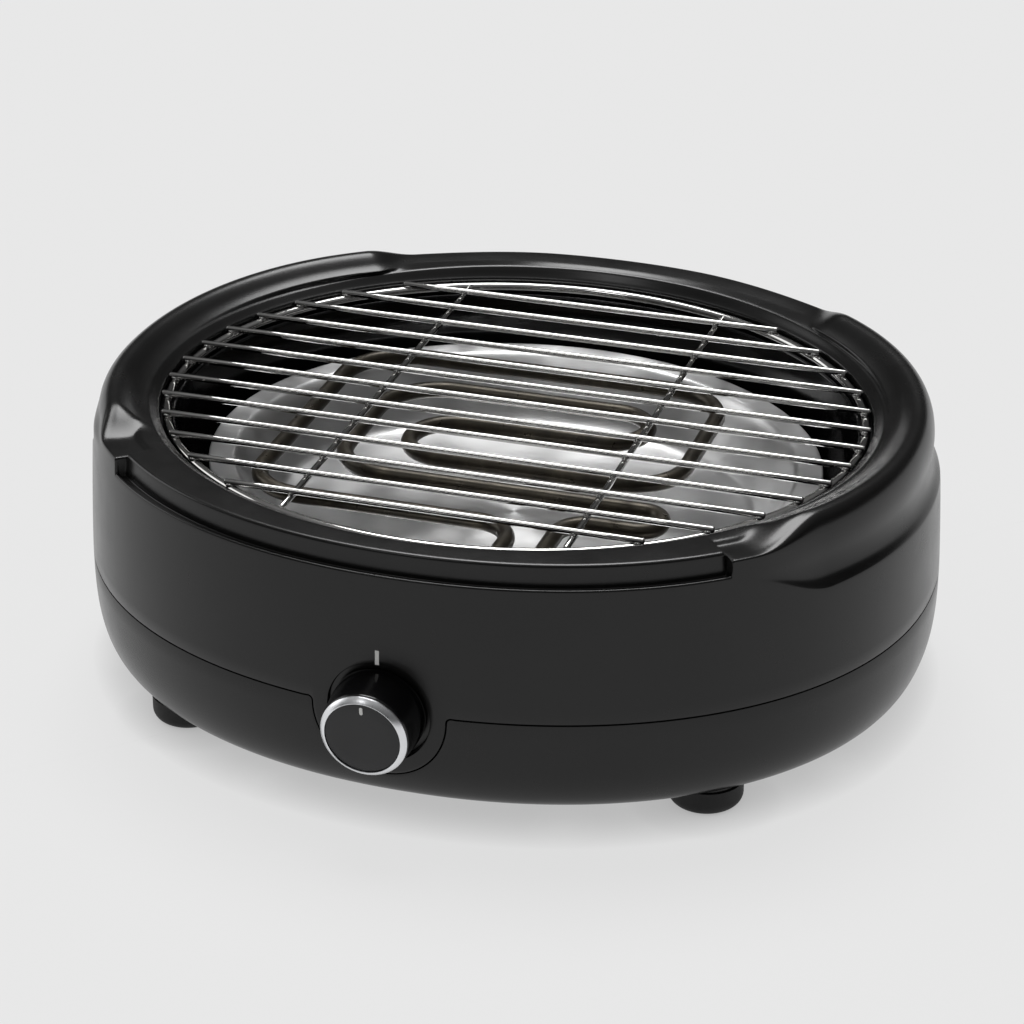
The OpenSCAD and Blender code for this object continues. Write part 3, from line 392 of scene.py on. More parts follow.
def rim_section(t):
    """Control points (r, z) of the rim at the polar angles t."""
    f = np.abs((t + 270) % 360 - 180)
    notch, run, start = (by_side(t, pair) for pair in (NOTCH, RAMP, RAMP_START))
    groove_start, fall_start = by_side(t, GROOVE_START), by_side(t, FALL_START)
    past = f > notch
    fall = 1 - ease((f - fall_start) / FALL_TURN)
    rise = (fall * past)[:, None] * ease((f - start)[:, None] / (run[:, None] * RAMP_SHARE))
    groove = fall * past * ease((f - groove_start) / GROOVE_RUN)
    rise[:, GROOVE] = groove[:, None]
    share = np.interp(f - notch, STEP, STEP_SHARE)[:, None, None]
    front, shelf, handle, back = (np.array(s, float)[None] for s in (FRONT, SHELF, HANDLE, BACK))
    low = np.where(f[:, None, None] < 90, front * (1 - share) + shelf * share, back)
    s = low + (handle - low) * rise[..., None]
    gain = CREST_GAIN * ease((f - 92) / 40) * fall
    gain += BACK_GAIN * ease((f - fall_start - FALL_TURN) / 24)
    s[..., 1] += TOP_SHARE * gain[:, None]
    z = MOUTH_Z + s[..., 1]
    r = oval_r(CASING_A, CASING_B, t, POWER)[:, None] - s[..., 0] - lean(z)
    mouth = np.array(MOUTH, float)
    mr = oval_r(MOUTH_A, MOUTH_B, t)[:, None] - mouth[:, 0]
    mz = MOUTH_Z + mouth[:, 1] + 0 * mr
    mz[:, :RIDGE] += RIDGE_GAIN * ease((f[:, None] - 115) / 50)
    r = np.concatenate([r[:, :OUTER], mr, r[:, OUTER:]], 1)
    z = np.concatenate([z[:, :OUTER], mz, z[:, OUTER:]], 1)
    return np.stack([r, z], -1)


def placed(t, rz):
    """Points from (r, z) rows at the polar angles t."""
    c, s = np.cos(np.radians(t))[:, None], np.sin(np.radians(t))[:, None]
    return np.stack([rz[..., 0] * c, rz[..., 0] * s, rz[..., 1]], -1)


def foot_curve(fillet, circle_r, upward):
    """The shell's edge round the knob, from left to right: (u, v) and the way into the shell."""
    u, v, nu, nv = [], [], [], []
    for a in np.radians(FILLET_TURNS):
        s, c = math.sin(a), math.cos(a)
        u.append(TONGUE_R + TONGUE_FILLET - fillet * s)
        z = SEAM_Z - TONGUE_FILLET + fillet * c
        v.append((z - KNOB_Z) / math.cos(math.radians(KNOB_TILT)))
        nu.append(-s if upward else s)
        nv.append(c if upward else -c)
    if upward:
        phi = np.radians(np.arange(12, 169, 3))
    else:
        phi = np.radians(np.arange(354, 185, -3))
    cu, cv = circle_r * np.cos(phi), circle_r * np.sin(phi)
    side = 0 if upward else 1
    u = np.array(u + cu.tolist() + [-x for x in u[::-1]])
    v = np.array(v + cv.tolist() + v[::-1])
    nu = np.array(nu + (side * np.cos(phi)).tolist() + [-x for x in nu[::-1]])
    nv = np.array(nv + (side * np.sin(phi)).tolist() + nv[::-1])
    return u[::-1], v[::-1], nu[::-1], nv[::-1]


def seam_angles(t_right, t_left):
    """Polar angles of the columns that stand on the seam, counter-clockwise."""
    special = []
    for side in (0, 1):
        f = [NOTCH[side] + s for s in STEP]
        end = max(RAMP_START[side] + RAMP[side], GROOVE_START[side] + GROOVE_RUN)
        f += np.arange(NOTCH[side] + 0.8, end + 1, 0.6).tolist()
        f += np.arange(FALL_START[side] - 1, FALL_START[side] + FALL_TURN + 1.2, 0.6).tolist()
        special += [270 - x if side else x - 90 for x in f]
    special = np.array(special)
    even = np.arange(math.ceil(t_right) + 0.5, t_left + 360 - 0.4, 1.0)
    painted_contact_shade = np.abs(even[:, None] - special[None]).min(1)
    even = even[painted_contact_shade > 0.25]
    return np.sort(np.concatenate([even, special]))


def upper_casing(material):
    solid = Solid()
    u, v, nu, nv = foot_curve(TONGUE_FILLET, TONGUE_R, True)
    knob_low = on_wall(u, v, EDGE)
    knob_mid = on_wall(u + EDGE_MID * nu, v + EDGE_MID * nv, EDGE_MID)
    on_circle = (nu == 0) & (nv == 0)
    knob_low[on_circle] = on_wall(u, v)[on_circle]
    knob_mid[on_circle] = knob_low[on_circle]
    knob_top = on_wall(u + EDGE * nu, v + EDGE * nv)
    knob_in = on_wall(u, v, WALL)
    t_knob = polar(knob_top)
    t_seam = seam_angles(t_knob[-1], t_knob[0])
    seam_low = casing_xyz(t_seam, EDGE, SEAM_Z)
    seam_mid = casing_xyz(t_seam, EDGE_MID, SEAM_Z + EDGE_MID)
    seam_top = casing_xyz(t_seam, 0, SEAM_Z + EDGE)
    seam_in = casing_xyz(t_seam, WALL, SEAM_Z)
    t = np.concatenate([t_knob, t_seam])
    low, mid, top, inner = (
        np.concatenate(p)
        for p in (
            (knob_low, seam_low), (knob_mid, seam_mid), (knob_top, seam_top), (knob_in, seam_in)
        )
    )
    share = np.linspace(0, 1, SEAM_ROWS)[None, 1:-1]
    z = top[:, 2:] * (1 - share) + RIM_FOOT_Z * share
    r = oval_r(CASING_A, CASING_B, t, POWER)[:, None]
    wall = placed(t, np.stack([r - lean(z), z], -1))
    rim = placed(t, rounded(rim_section(t), 4))
    z = inner[:, 2:] * share + RIM_FOOT_Z * (1 - share)
    back = placed(t, np.stack([r - WALL - lean(z), z], -1))
    rows = np.concatenate(
        [low[:, None], mid[:, None], top[:, None], wall, rim, back, inner[:, None]], 1
    )
    solid.grid(rows, close_rows=True)
    # Foot of the wall along the seam and its fillets, up to where the tongue's circle begins
    first, last = len(FILLET_TURNS) - 1, len(t_knob) - len(FILLET_TURNS)
    order = np.r_[np.arange(last, len(t)), np.arange(0, first + 1)]
    solid.strip(low[order], inner[order])
    # Tongue: its face, the dish for the knob and the plug behind them
    upper = np.arange(first, last + 1)
    phi_low = np.radians(np.arange(183, 358, 3))
    lu, lv = np.cos(phi_low), np.sin(phi_low)
    ring_u = np.concatenate([u[upper] + EDGE * nu[upper], (TONGUE_R - EDGE) * lu[::-1]])
    ring_v = np.concatenate([v[upper] + EDGE * nv[upper], (TONGUE_R - EDGE) * lv[::-1]])
    size = np.hypot(ring_u, ring_v)
    cu, cv = ring_u / size, ring_v / size
    rings = [np.concatenate([knob_top[upper], on_wall(ring_u, ring_v)[len(upper):]])]
    for s in (0.8, 0.55, 0.3, 0.0):
        radius = DISH_R + 0.5 + s * (size - DISH_R - 0.5)
        rings.append(on_wall(cu * radius, cv * radius))
    rings.append(on_wall(cu * (DISH_R + 0.15), cv * (DISH_R + 0.15), 0.12))
    rings.append(on_wall(cu * DISH_R, cv * DISH_R, 0.45))
    rings.append(from_knob(cu * DISH_R, cv * DISH_R, -DISH_DEPTH + 0.25))
    rings.append(from_knob(cu * (DISH_R - 0.3), cv * (DISH_R - 0.3), -DISH_DEPTH))
    rings.append(from_knob(cu * 6, cv * 6, -DISH_DEPTH))
    solid.grid(np.stack(rings), close_columns=True)
    solid.fan(rings[-1], from_knob(0, 0, -DISH_DEPTH))
    rim_u = np.concatenate([u[upper], TONGUE_R * lu[::-1]])
    rim_v = np.concatenate([v[upper], TONGUE_R * lv[::-1]])
    plug = from_knob(rim_u, rim_v, PLUG_BACK)
    solid.fan(plug, from_knob(0, 0, PLUG_BACK))
    solid.strip(inner[upper], plug[: len(upper)])
    lower = np.r_[len(upper) - 1, np.arange(len(upper), len(plug)), 0]
    edge_low = on_wall(TONGUE_R * lu[::-1], TONGUE_R * lv[::-1], EDGE)
    mid_r = TONGUE_R - EDGE_MID
    edge_mid = on_wall(mid_r * lu[::-1], mid_r * lv[::-1], EDGE_MID)
    a, b = upper[-1], upper[0]
    edge_low = np.vstack([low[a], edge_low, low[b]])
    edge_mid = np.vstack([mid[a], edge_mid, mid[b]])
    solid.grid(np.stack([rings[0][lower], edge_mid, edge_low, plug[lower]]))
    for k, j in ((a, len(upper) - 1), (b, 0)):
        solid.add([low[k], inner[k], plug[j]], [(0, 1, 2)])
    pillars(solid)
    return solid.make("casing_upper", material)


def screw_places():
    for t in SCREW_ANGLES:
        p = casing_xyz(np.array(float(t)), PILLAR_INSET, 0.0)
        yield Matrix.Translation((p[0], p[1], 0))


def foot_places():
    for x in (-FOOT_X, FOOT_X):
        for y in (-FOOT_Y, FOOT_Y):
            yield Matrix.Translation((x, y, 0))


def pillars(solid):
    """Screw pillars inside the casing."""
    foot, bore_top, top = PILLAR_FOOT_Z, PILLAR_FOOT_Z + PILLAR_BORE_H, RACK_Z - 12
    profile = [
        (0, bore_top), (PILLAR_BORE_R, bore_top), (PILLAR_BORE_R, foot), (PILLAR_R, foot),
        (PILLAR_R, top - 1), (PILLAR_R - 1, top), (0, top),
    ]
    for place in screw_places():
        lathe(solid, profile, 24, place)


def rod(r, low, high):
    """Profile of a plain closed cylinder, for lathe."""
    return [(0, low), (r, low), (r, high), (0, high)]


def lower_casing(material):
    solid = Solid()
    top_z = SEAM_Z - SEAM_GAP
    u, v, nu, nv = foot_curve(TONGUE_FILLET - SEAM_GAP, TONGUE_R + SEAM_GAP, False)
    knob = [on_wall(u, v, EDGE), on_wall(u + EDGE_MID * nu, v + EDGE_MID * nv, EDGE_MID),
            on_wall(u + EDGE * nu, v + EDGE * nv)]
    knob_in = on_wall(u, v, WALL)
    t_knob = polar(knob[2])
    t_seam = seam_angles(t_knob[-1], t_knob[0])
    seam = [casing_xyz(t_seam, EDGE, top_z), casing_xyz(t_seam, EDGE_MID, top_z - EDGE_MID),
            casing_xyz(t_seam, 0, top_z - EDGE)]
    seam_in = casing_xyz(t_seam, WALL, top_z)
    t = np.concatenate([t_knob, t_seam])
    low, mid, top = (np.concatenate(p) for p in zip(knob, seam))
    inner = np.concatenate([knob_in, seam_in])
    r = oval_r(CASING_A, CASING_B, t, POWER)[:, None]

    def fall(z_top, z_end, count):
        power = 2 / CORNER_POWER
        span = SEAM_Z - z_end
        start = np.arcsin(np.clip((SEAM_Z - z_top) / span, 0, 1) ** (1 / power))
        theta = start + (math.pi / 2 - start) * np.linspace(0, 1, count)[None]
        return SEAM_Z - span * np.sin(theta) ** power

    z = fall(top[:, 2:], BOTTOM_Z, 22)[:, 1:]
    outer = placed(t, np.stack([r - corner_inset(z), z], -1))
    z = fall(inner[:, 2:], FLOOR_Z, 12)[:, 1:]
    skin = placed(t, np.stack([r - WALL - corner_inset(z - WALL) * 0.985, z], -1))
    under = [casing_xyz(t, CORNER_W + s, BOTTOM_Z) for s in (0.8, 3, 20, 60, 110, 150)]
    over = [casing_xyz(t, CORNER_W + WALL + s, FLOOR_Z) for s in (3, 20, 60, 110, 150)]
    first = [low[:, None], mid[:, None], top[:, None], outer] + [p[:, None] for p in under]
    rows = np.concatenate(first, 1)
    solid.grid(rows, close_rows=True)
    solid.fan(rows[:, -1], (0, 0, BOTTOM_Z))
    rows = np.concatenate([inner[:, None], skin] + [p[:, None] for p in over], 1)
    solid.grid(rows, close_rows=True)
    solid.fan(rows[:, -1], (0, 0, FLOOR_Z))
    solid.strip(low, inner, close=True)
    shell = solid.make("casing_lower", material)
    cuts = Solid()
    for x in VENT_X:
        for y in VENT_Y:
            slot_prism(cuts, x, y, VENT_W, VENT_L, BOTTOM_Z - 1, FLOOR_Z + 1)
    for place in screw_places():
        lathe(cuts, rod(SCREW_ACCESS_R, BOTTOM_Z - 3, 40), 32, place)
    for x in POST_X:
        for y in POST_Y:
            bore = rod(POST_BORE_R, BOTTOM_Z - 1, FLOOR_Z + 1)
            lathe(cuts, bore, 16, Matrix.Translation((x, y, 0)))
    inlet_y = CASING_B - corner_inset(INLET_Z) - 1
    place = Matrix.Translation((0, inlet_y, INLET_Z)) @ Matrix.Rotation(math.radians(-90), 4, "X")
    lathe(cuts, [(0, -12), (7.2, -12), (7.2, 0), (9.8, 0), (9.8, 8), (0, 8)], 48, place)
    carve(shell, cuts)
    pads = Solid()
    low, high = FOOT_H, FOOT_H + PAD_H
    profile = [(PILLAR_BORE_R, low), (PAD_R - 0.4, low), (PAD_R, low + 0.4), (PAD_R, high),
               (PILLAR_BORE_R, high)]
    for place in foot_places():
        lathe(pads, profile, 64, place, closed=True)
    merge(shell, pads)
    return shell


def slot_prism(solid, x, y, width, length, low, high):
    """Upright prism with round ends."""
    r, flat = width / 2, length / 2 - width / 2
    ring = [(x + a, y + flat + b) for a, b in arc(0, 0, r, 0, 180, 9)]
    ring += [(x + a, y - flat + b) for a, b in arc(0, 0, r, 180, 360, 9)]
    count = len(ring)
    points = [(a, b, z) for z in (low, high) for a, b in ring]
    faces = [(i, (i + 1) % count, count + (i + 1) % count, count + i) for i in range(count)]
    faces += [tuple(range(count - 1, -1, -1)), tuple(range(count, 2 * count))]
    solid.add(points, faces)


# ---- Basin, tray, heating tube, rack ----
COLD_Y = -(TRAY_B - 3)  # where the tube's cold ends turn down
BASIN_BEND = 8.0
RUN_STEP = 15.0  # longest piece of a straight run of the tube
CUT_CROWN = 0.45  # how far a cut wire's end stands out, as a share of its radius
RING_BEAD, CROSS_BEAD, BEAD_FLAT = 2.2, 1.9, 0.75
BEAD_ARC = [
    (0, -1),
    *((math.cos(math.radians(a)), math.sin(math.radians(a))) for a in (-60, -30, 0, 30, 60)),
    (0, 1),
]


def oval_rows(a, b, profile, count):
    """Rings of an oval that follow a profile [(inset, z)]."""
    t = np.arange(count) * 360 / count
    return np.stack([oval_xyz(a, b, t, inset, z) for inset, z in profile])


def bowl(name, a, b, upper, lower, count, material, cutter):
    """Thin dish: upper and lower profiles run from the rim to the middle, (inset, z)."""
    solid = Solid()
    up, down = oval_rows(a, b, upper, count), oval_rows(a, b, lower, count)
    solid.grid(up, close_columns=True)
    solid.grid(down, close_columns=True)
    solid.strip(up[0], down[0], close=True)
    solid.fan(up[-1], (0, 0, upper[-1][1]))
    solid.fan(down[-1], (0, 0, lower[-1][1]))
    obj = solid.make(name, material)
    carve(obj, cutter)
    return obj


def basin_piece(material):
    turn, r_out, r_in = BASIN_LEAN + BASIN_BEND, BASIN_BEND, BASIN_BEND - BASIN_T
    z_out, z_in = BASIN_BOTTOM_Z + BASIN_BEND, BASIN_FLOOR_Z + BASIN_BEND - BASIN_T
    inner = [(-9, LEDGE_Z), (-5, LEDGE_Z), (-1.2, LEDGE_Z), (-0.5, LEDGE_Z - 0.12),
             (-0.1, LEDGE_Z - 0.5), (0.1, LEDGE_Z - 1.2)]
    wall_foot = turn - r_in
    for s in (0.2, 0.4, 0.6, 0.8):
        inner.append((0.1 + s * (wall_foot - 0.1), LEDGE_Z - 1.2 + s * (z_in - LEDGE_Z + 1.2)))
    inner += [(turn - r_in * math.cos(a), z_in - r_in * math.sin(a))
              for a in np.radians(np.linspace(0, 90, 9))]
    inner += [(i, BASIN_FLOOR_Z) for i in (14, 24, 60, 100, 135)]
    outer = [(-9, LEDGE_Z - BASIN_T), (-BASIN_T, LEDGE_Z - BASIN_T)]
    outer += [(turn - BASIN_T - r_out * math.cos(a), z_out - r_out * math.sin(a))
              for a in np.radians(np.linspace(0, 90, 7))]
    outer += [(i, BASIN_BOTTOM_Z) for i in (24, 60, 100, 135)]
    gap, reach, socket_h = 0.3, 14, 26
    hole = box_solid(
        (COLD_X - reach - gap, COLD_Y - reach - gap, TUBE_Z - reach - socket_h - gap),
        (COLD_X + COLD_PITCH + reach + gap, COLD_Y + 7 + gap, TUBE_Z - reach + gap),
    )
    return bowl("basin_dish", BASIN_A, BASIN_B, inner, outer, 240, material, hole)


def tray_piece(material):
    top = np.array([
        (0, -1.6), (0, -0.5), (0.4, 0), (2, 0.02), (6, 0), (10, 0), (12, -0.15), (14, -1.8),
        (17, -6), (21.5, -13.5), (25.6, -20.6), (28, -25), (30.6, -28.6), (34.4, -29.9),
        (39, -30), (46, -30),
    ])
    curve = rounded(top[None], 4)[0]
    upper = [(i, TRAY_RIM_Z + z) for i, z in curve]
    slope = np.gradient(curve, axis=0)
    normal = np.stack([-slope[:, 1], slope[:, 0]], -1)
    normal /= np.linalg.norm(normal, axis=1)[:, None]
    under = curve - TRAY_T * normal
    lower = [(TRAY_T, TRAY_RIM_Z - 1.6), (TRAY_T, TRAY_RIM_Z - TRAY_T)]
    lower += [(i, TRAY_RIM_Z + z) for i, z in under[curve[:, 0] > 3]]
    flat = (60, 80, 100, 120)
    upper += [(i, TRAY_FLOOR_Z) for i in flat]
    lower += [(i, TRAY_FLOOR_Z - TRAY_T) for i in flat]
    r = TUBE_D / 2
    notch = box_solid(
        (COLD_X - r - 3, COLD_Y - 20, TRAY_RIM_Z - 8),
        (COLD_X + COLD_PITCH + r + 3, COLD_Y + r + 1.5, TRAY_RIM_Z + 4),
    )
    return bowl("tray_dish", TRAY_A, TRAY_B, upper, lower, 288, material, notch)


def route_path(corners):
    """Points along straight runs joined by round bends; corners are (x, y, bend radius)."""
    out = []
    last = len(corners) - 1
    for i, (x, y, r) in enumerate(corners):
        p = np.array([x, y], float)
        if i in (0, last):
            out.append(p)
            continue
        a = np.array(corners[i - 1][:2], float) - p
        b = np.array(corners[i + 1][:2], float) - p
        a /= np.linalg.norm(a)
        b /= np.linalg.norm(b)
        half = math.acos(np.clip(a.dot(b), -1, 1)) / 2
        take = r / math.tan(half)
        centre = p + (a + b) / np.linalg.norm(a + b) * r / math.sin(half)
        one, two = p + a * take - centre, p + b * take - centre
        start = math.atan2(one[1], one[0])
        sweep = (math.atan2(two[1], two[0]) - start + math.pi) % (2 * math.pi) - math.pi
        count = max(4, round(abs(sweep) * 12 / math.pi * 2))
        for k in range(count + 1):
            h = start + sweep * k / count
            out.append(centre + r * np.array([math.cos(h), math.sin(h)]))
    path = [out[0]]
    for p in out[1:]:
        gap = np.linalg.norm(p - path[-1])
        if gap < 1e-6:
            continue
        pieces = max(1, int(gap // RUN_STEP))
        before = path[-1]
        path += [before + (p - before) * k / pieces for k in range(1, pieces + 1)]
    return np.array(path)


def element_piece(material):
    left, right = -(TRAY_A - FLANGE_W - 31), TRAY_A - FLANGE_W - 53
    back, front = TRAY_B - FLANGE_W - 37.5, -(TRAY_B - FLANGE_W - 40.5)
    row = [front + s * (back - front) for s in (0, 0.195, 0.34, 0.582, 0.8, 1)]
    pitch, second = 21.0, COLD_X + COLD_PITCH
    first_turn, next_turn = (row[3] - row[2]) / 2, (row[4] - row[3]) / 2
    bend = 7.0
    corners = [
        (COLD_X, COLD_Y + bend, 0), (COLD_X, row[0], 18), (left, row[0], 27), (left, row[5], 32),
        (right, row[5], 30), (right, row[2], 25), (left + 56, row[2], first_turn),
        (left + 56, row[3], first_turn), (right - 28, row[3], next_turn),
        (right - 28, row[4], next_turn), (left + 30, row[4], 30), (left + 30, row[1], 28),
        (right + 5, row[1], pitch / 2), (right + 5, row[1] - pitch, pitch / 2),
        (second, row[1] - pitch, 14), (second, COLD_Y + bend, 0),
    ]
    flat = route_path(corners)
    level = np.column_stack([flat, np.full(len(flat), TUBE_Z)])
    down = [(COLD_Y + bend - bend * math.sin(a), TUBE_Z - bend + bend * math.cos(a))
            for a in np.radians(np.arange(15, 91, 15))]
    end = [[second, y, z] for y, z in down] + [[second, COLD_Y, TUBE_Z - 10]]
    start = [[COLD_X, y, z] for y, z in down] + [[COLD_X, COLD_Y, TUBE_Z - 10]]
    path = np.vstack([start[::-1], level, end])
    solid = Solid()
    tube(solid, path, TUBE_D / 2, 24)
    return solid.make("element_coil", material, sharp=50)


def chord(a, b, y):
    return a * math.sqrt(max(0, 1 - (y / b) ** 2))


def ring_piece(material):
    solid = Solid()
    t = np.arange(288) * 360 / 288
    tube(solid, oval_xyz(RACK_W / 2, RACK_D / 2, t, 0, RACK_Z), RING_D / 2, 18, closed=True)
    return solid.make("rack_hoop", material)


def bars_piece(material):
    solid = Solid()
    for i in range(1, BAR_COUNT + 1):
        y = (i - (BAR_COUNT + 1) / 2) * BAR_PITCH
        half = chord(RACK_W / 2, RACK_D / 2, y) + BAR_OVERHANG
        x = np.linspace(-half + 0.7, half - 0.7, 12)
        path = np.stack([x, y + 0 * x, BAR_Z + 0 * x], -1)
        tube(solid, path, BAR_D / 2, 20, crown=CUT_CROWN)
        # Beads where the bar is welded to the ring and to the two cross wires
        on_ring = chord(RACK_W / 2, RACK_D / 2, y)
        for at, size in (
            (-on_ring, RING_BEAD), (-CROSS_SPACING / 2, CROSS_BEAD),
            (CROSS_SPACING / 2, CROSS_BEAD), (on_ring, RING_BEAD),
        ):
            weld_bead(solid, (at, y, BAR_Z - BAR_D / 2 + WELD_SINK / 2), size)
    return solid.make("rack_rods", material, sharp=60)


def weld_bead(solid, centre, size):
    """A flattened blob of metal where two wires are fused."""
    profile = [(size * c, BEAD_FLAT * size * s) for c, s in BEAD_ARC]
    lathe(solid, profile, 14, Matrix.Translation(centre))


def cross_piece(material):
    solid = Solid()
    for side in (-1, 1):
        x = side * CROSS_SPACING / 2
        half = chord(RACK_D / 2, RACK_W / 2, x) - RING_D / 2 + WELD_SINK
        y = np.linspace(-half + 0.5, half - 0.5, 12)
        path = np.stack([x + 0 * y, y, BAR_Z - BAR_D + WELD_SINK + 0 * y], -1)
        tube(solid, path, BAR_D / 2, 20, crown=CUT_CROWN)
    return solid.make("rack_braces", material, sharp=60)


# ---- Knob and feet ----
BEZEL_H, BEVEL_H, BEVEL_W = 3.0, 2.1, 2.2
CAP_R, CAP_SEAT, CAP_FACE = KNOB_FACE_R - 2.7, KNOB_REACH - 2, KNOB_REACH - 0.6
POINTER_R, POINTER_FACE = 0.75, KNOB_REACH - 0.4
BORE_R, HUB_R = 3.05, 6  # for the spindle


def barrel_piece(material):
    foot, top = -DISH_DEPTH + 0.8, KNOB_REACH - BEZEL_H
    solid = Solid()
    side = rounded(np.array([[
        (KNOB_BASE_R - 0.6, foot), (KNOB_BASE_R, foot + 0.2), (KNOB_BASE_R, foot + 4),
        (KNOB_BASE_R - 0.25, foot + 9), (KNOB_FACE_R + 0.75, top - 5),
        (KNOB_FACE_R + 0.4, top - 1.6), (KNOB_FACE_R + 0.1, top - 0.15), (KNOB_FACE_R - 0.3, top),
    ]]), 4)[0].tolist()
    profile = side + [(CAP_R, top), (CAP_R, CAP_SEAT), (8, CAP_SEAT), (0, CAP_SEAT)]
    shell = [(side[0][0] - 1.8, foot), (KNOB_FACE_R - 3, top - 3), (10, top - 2.6), (0, top - 2.6)]
    for part in (profile, shell, [side[0], shell[0]]):
        lathe(solid, part, 144, KNOB_PLACE)
    hub = [(BORE_R, KNOB_REACH - 5), (BORE_R, 1), (HUB_R, 1), (HUB_R, KNOB_REACH - 5)]
    lathe(solid, hub, 48, KNOB_PLACE, closed=True)
    return solid.make("knob_grip", material, sharp=40)


def bezel_piece(material):
    solid = Solid()
    top, r = KNOB_REACH, KNOB_FACE_R
    low, inner = top - BEZEL_H, r - BEVEL_W
    lathe(solid, [
        (r - 0.15, low), (r, low + 0.15), (r, top - BEVEL_H - 0.1),
        (r - 0.06, top - BEVEL_H + 0.05), (inner + 0.15, top - 0.12), (inner, top),
        (inner - 0.2, top), (CAP_R + 0.1, top - 0.15), (CAP_R + 0.1, low),
    ], 192, KNOB_PLACE, closed=True)
    return solid.make("knob_bezel", material, sharp=30)


def cap_piece(material):
    solid = Solid()
    top = CAP_FACE
    lathe(solid, [
        (0, CAP_SEAT), (CAP_R - 0.05, CAP_SEAT), (CAP_R - 0.05, top - 0.3),
        (CAP_R - 0.15, top - 0.08), (CAP_R - 0.4, top), (12, top), (6, top), (0, top),
    ], 144, KNOB_PLACE)
    return solid.make("knob_disc", material, sharp=30)


def pointer_piece(material):
    solid = Solid()
    low, high = CAP_R - 5.4, CAP_R - 1.6
    r, top = POINTER_R, POINTER_FACE
    ring = [(x, high - r + y) for x, y in arc(0, 0, r, 0, 180, 9)]
    ring += [(x, low + r + y) for x, y in arc(0, 0, r, 180, 360, 9)]
    ring = np.array(ring)
    middle = np.array([0, (low + high) / 2])
    rows = []
    for share, s in ((1, top - 0.2), (1, top - 0.05), (0.9, top)):
        p = middle + (ring - middle) * [share, 1 - (1 - share) * 0.3]
        rows.append(from_knob(p[:, 0], p[:, 1], s))
    solid.grid(np.stack(rows), close_columns=True)
    solid.fan(rows[-1], from_knob(0, middle[1], top))
    solid.fan(rows[0], from_knob(0, middle[1], top - 0.2))
    return solid.make("knob_line", material)


def feet_piece(material):
    solid = Solid()
    edge = 5.5
    profile = [(2.05, FOOT_H), (2.05, 4.5), (4.4, 4.5), (4.4, 0.4), (4.8, 0)]
    profile += arc(FOOT_R - edge, edge, edge, -90, 0, 10)
    profile += [(FOOT_R, FOOT_H)]
    for place in foot_places():
        lathe(solid, profile, 64, place, closed=True)
    return solid.make("foot_pads", material, sharp=40)


# ---- Materials ----
# Lengths here are in metres
FOLD_START = (0.0002, 0.006)  # squared distance from the middle where the tray's folds fade in


def fill_ramp(ramp, stops):
    steps = ramp.color_ramp.elements
    while len(steps) < len(stops):
        steps.new(0.5)
    for step, (at, rgb) in zip(steps, stops):
        step.position = at
        step.color = (*rgb, 1)


class Nodes:
    """Short hand for building a material's nodes."""

    def __init__(self, name, base, rough, metal=0.0):
        self.mat = bpy.data.materials.new(name)
        self.mat.use_nodes = True
        self.tree = self.mat.node_tree
        self.bsdf = self.tree.nodes["Principled BSDF"]
        self.set("Base Color", (*base, 1))
        self.set("Roughness", rough)
        self.set("Metallic", metal)
        self.coords = self.node("TexCoord").outputs["Object"]
        self.bump = None

    def set(self, socket, value):
        self.bsdf.inputs[socket].default_value = value

    def link(self, a, b):
        self.tree.links.new(a, b)

    def node(self, kind, **values):
        """New node; an underscore in a value's name stands for a space."""
        node = self.tree.nodes.new("ShaderNode" + kind)
        for key, value in values.items():
            node.inputs[key.replace("_", " ")].default_value = value
        return node

    def noise(self, scale, detail, rough=0.5):
        """Noise whose features are about 1 / scale metres across."""
        node = self.node("TexNoise", Scale=scale, Detail=detail, Roughness=rough)
        self.link(self.coords, node.inputs["Vector"])
        return node.outputs["Fac"]

    def ramp(self, value, low, high, out_low, out_high):
        node = self.node("MapRange", From_Min=low, From_Max=high, To_Min=out_low, To_Max=out_high)
        self.link(value, node.inputs["Value"])
        return node.outputs["Result"]

    def math(self, kind, a, b):
        """A Math node on a socket and a socket or number."""
        node = self.node("Math")
        node.operation = kind
        self.link(a, node.inputs[0])
        if isinstance(b, float):
            node.inputs[1].default_value = b
        else:
            self.link(b, node.inputs[1])
        return node.outputs["Value"]

    def folds(self, *waves):
        """Waves (count, share, turn) that run out from the middle of the piece."""
        split = self.node("SeparateXYZ")
        self.link(self.coords, split.inputs[0])
        x, y = split.outputs["X"], split.outputs["Y"]
        angle = self.math("ARCTAN2", y, x)
        total = None
        for count, share, turn in waves:
            wave = self.math("ADD", self.math("MULTIPLY", angle, float(count)), turn)
            wave = self.math("MULTIPLY", self.math("SINE", wave, 0.0), share)
            total = self.math("ADD", total, wave) if total else wave
        away = self.math("ADD", self.math("MULTIPLY", x, x), self.math("MULTIPLY", y, y))
        return self.math("MULTIPLY", total, self.ramp(away, *FOLD_START, 0, 1))

    def colour(self, value, stops):
        node = self.node("ValToRGB")
        fill_ramp(node, stops)
        self.link(value, node.inputs["Fac"])
        self.link(node.outputs["Color"], self.bsdf.inputs["Base Color"])

    def rough(self, value, low, high, out_low, out_high):
        self.link(self.ramp(value, low, high, out_low, out_high), self.bsdf.inputs["Roughness"])

    def relief(self, value, distance, strength):
        """Bump of the given depth in metres."""
        node = self.node("Bump", Strength=strength, Distance=distance)
        self.link(value, node.inputs["Height"])
        if self.bump:
            self.link(self.bump, node.inputs["Normal"])
        self.bump = node.outputs["Normal"]
        self.link(self.bump, self.bsdf.inputs["Normal"])


def tint(colour, k):
    return tuple(c * k for c in colour)


def shades(base, darker, lighter):
    """Colour stops from a darker to a lighter shade of base."""
    return [(0.3, tint(base, darker)), (0.7, tint(base, lighter))]


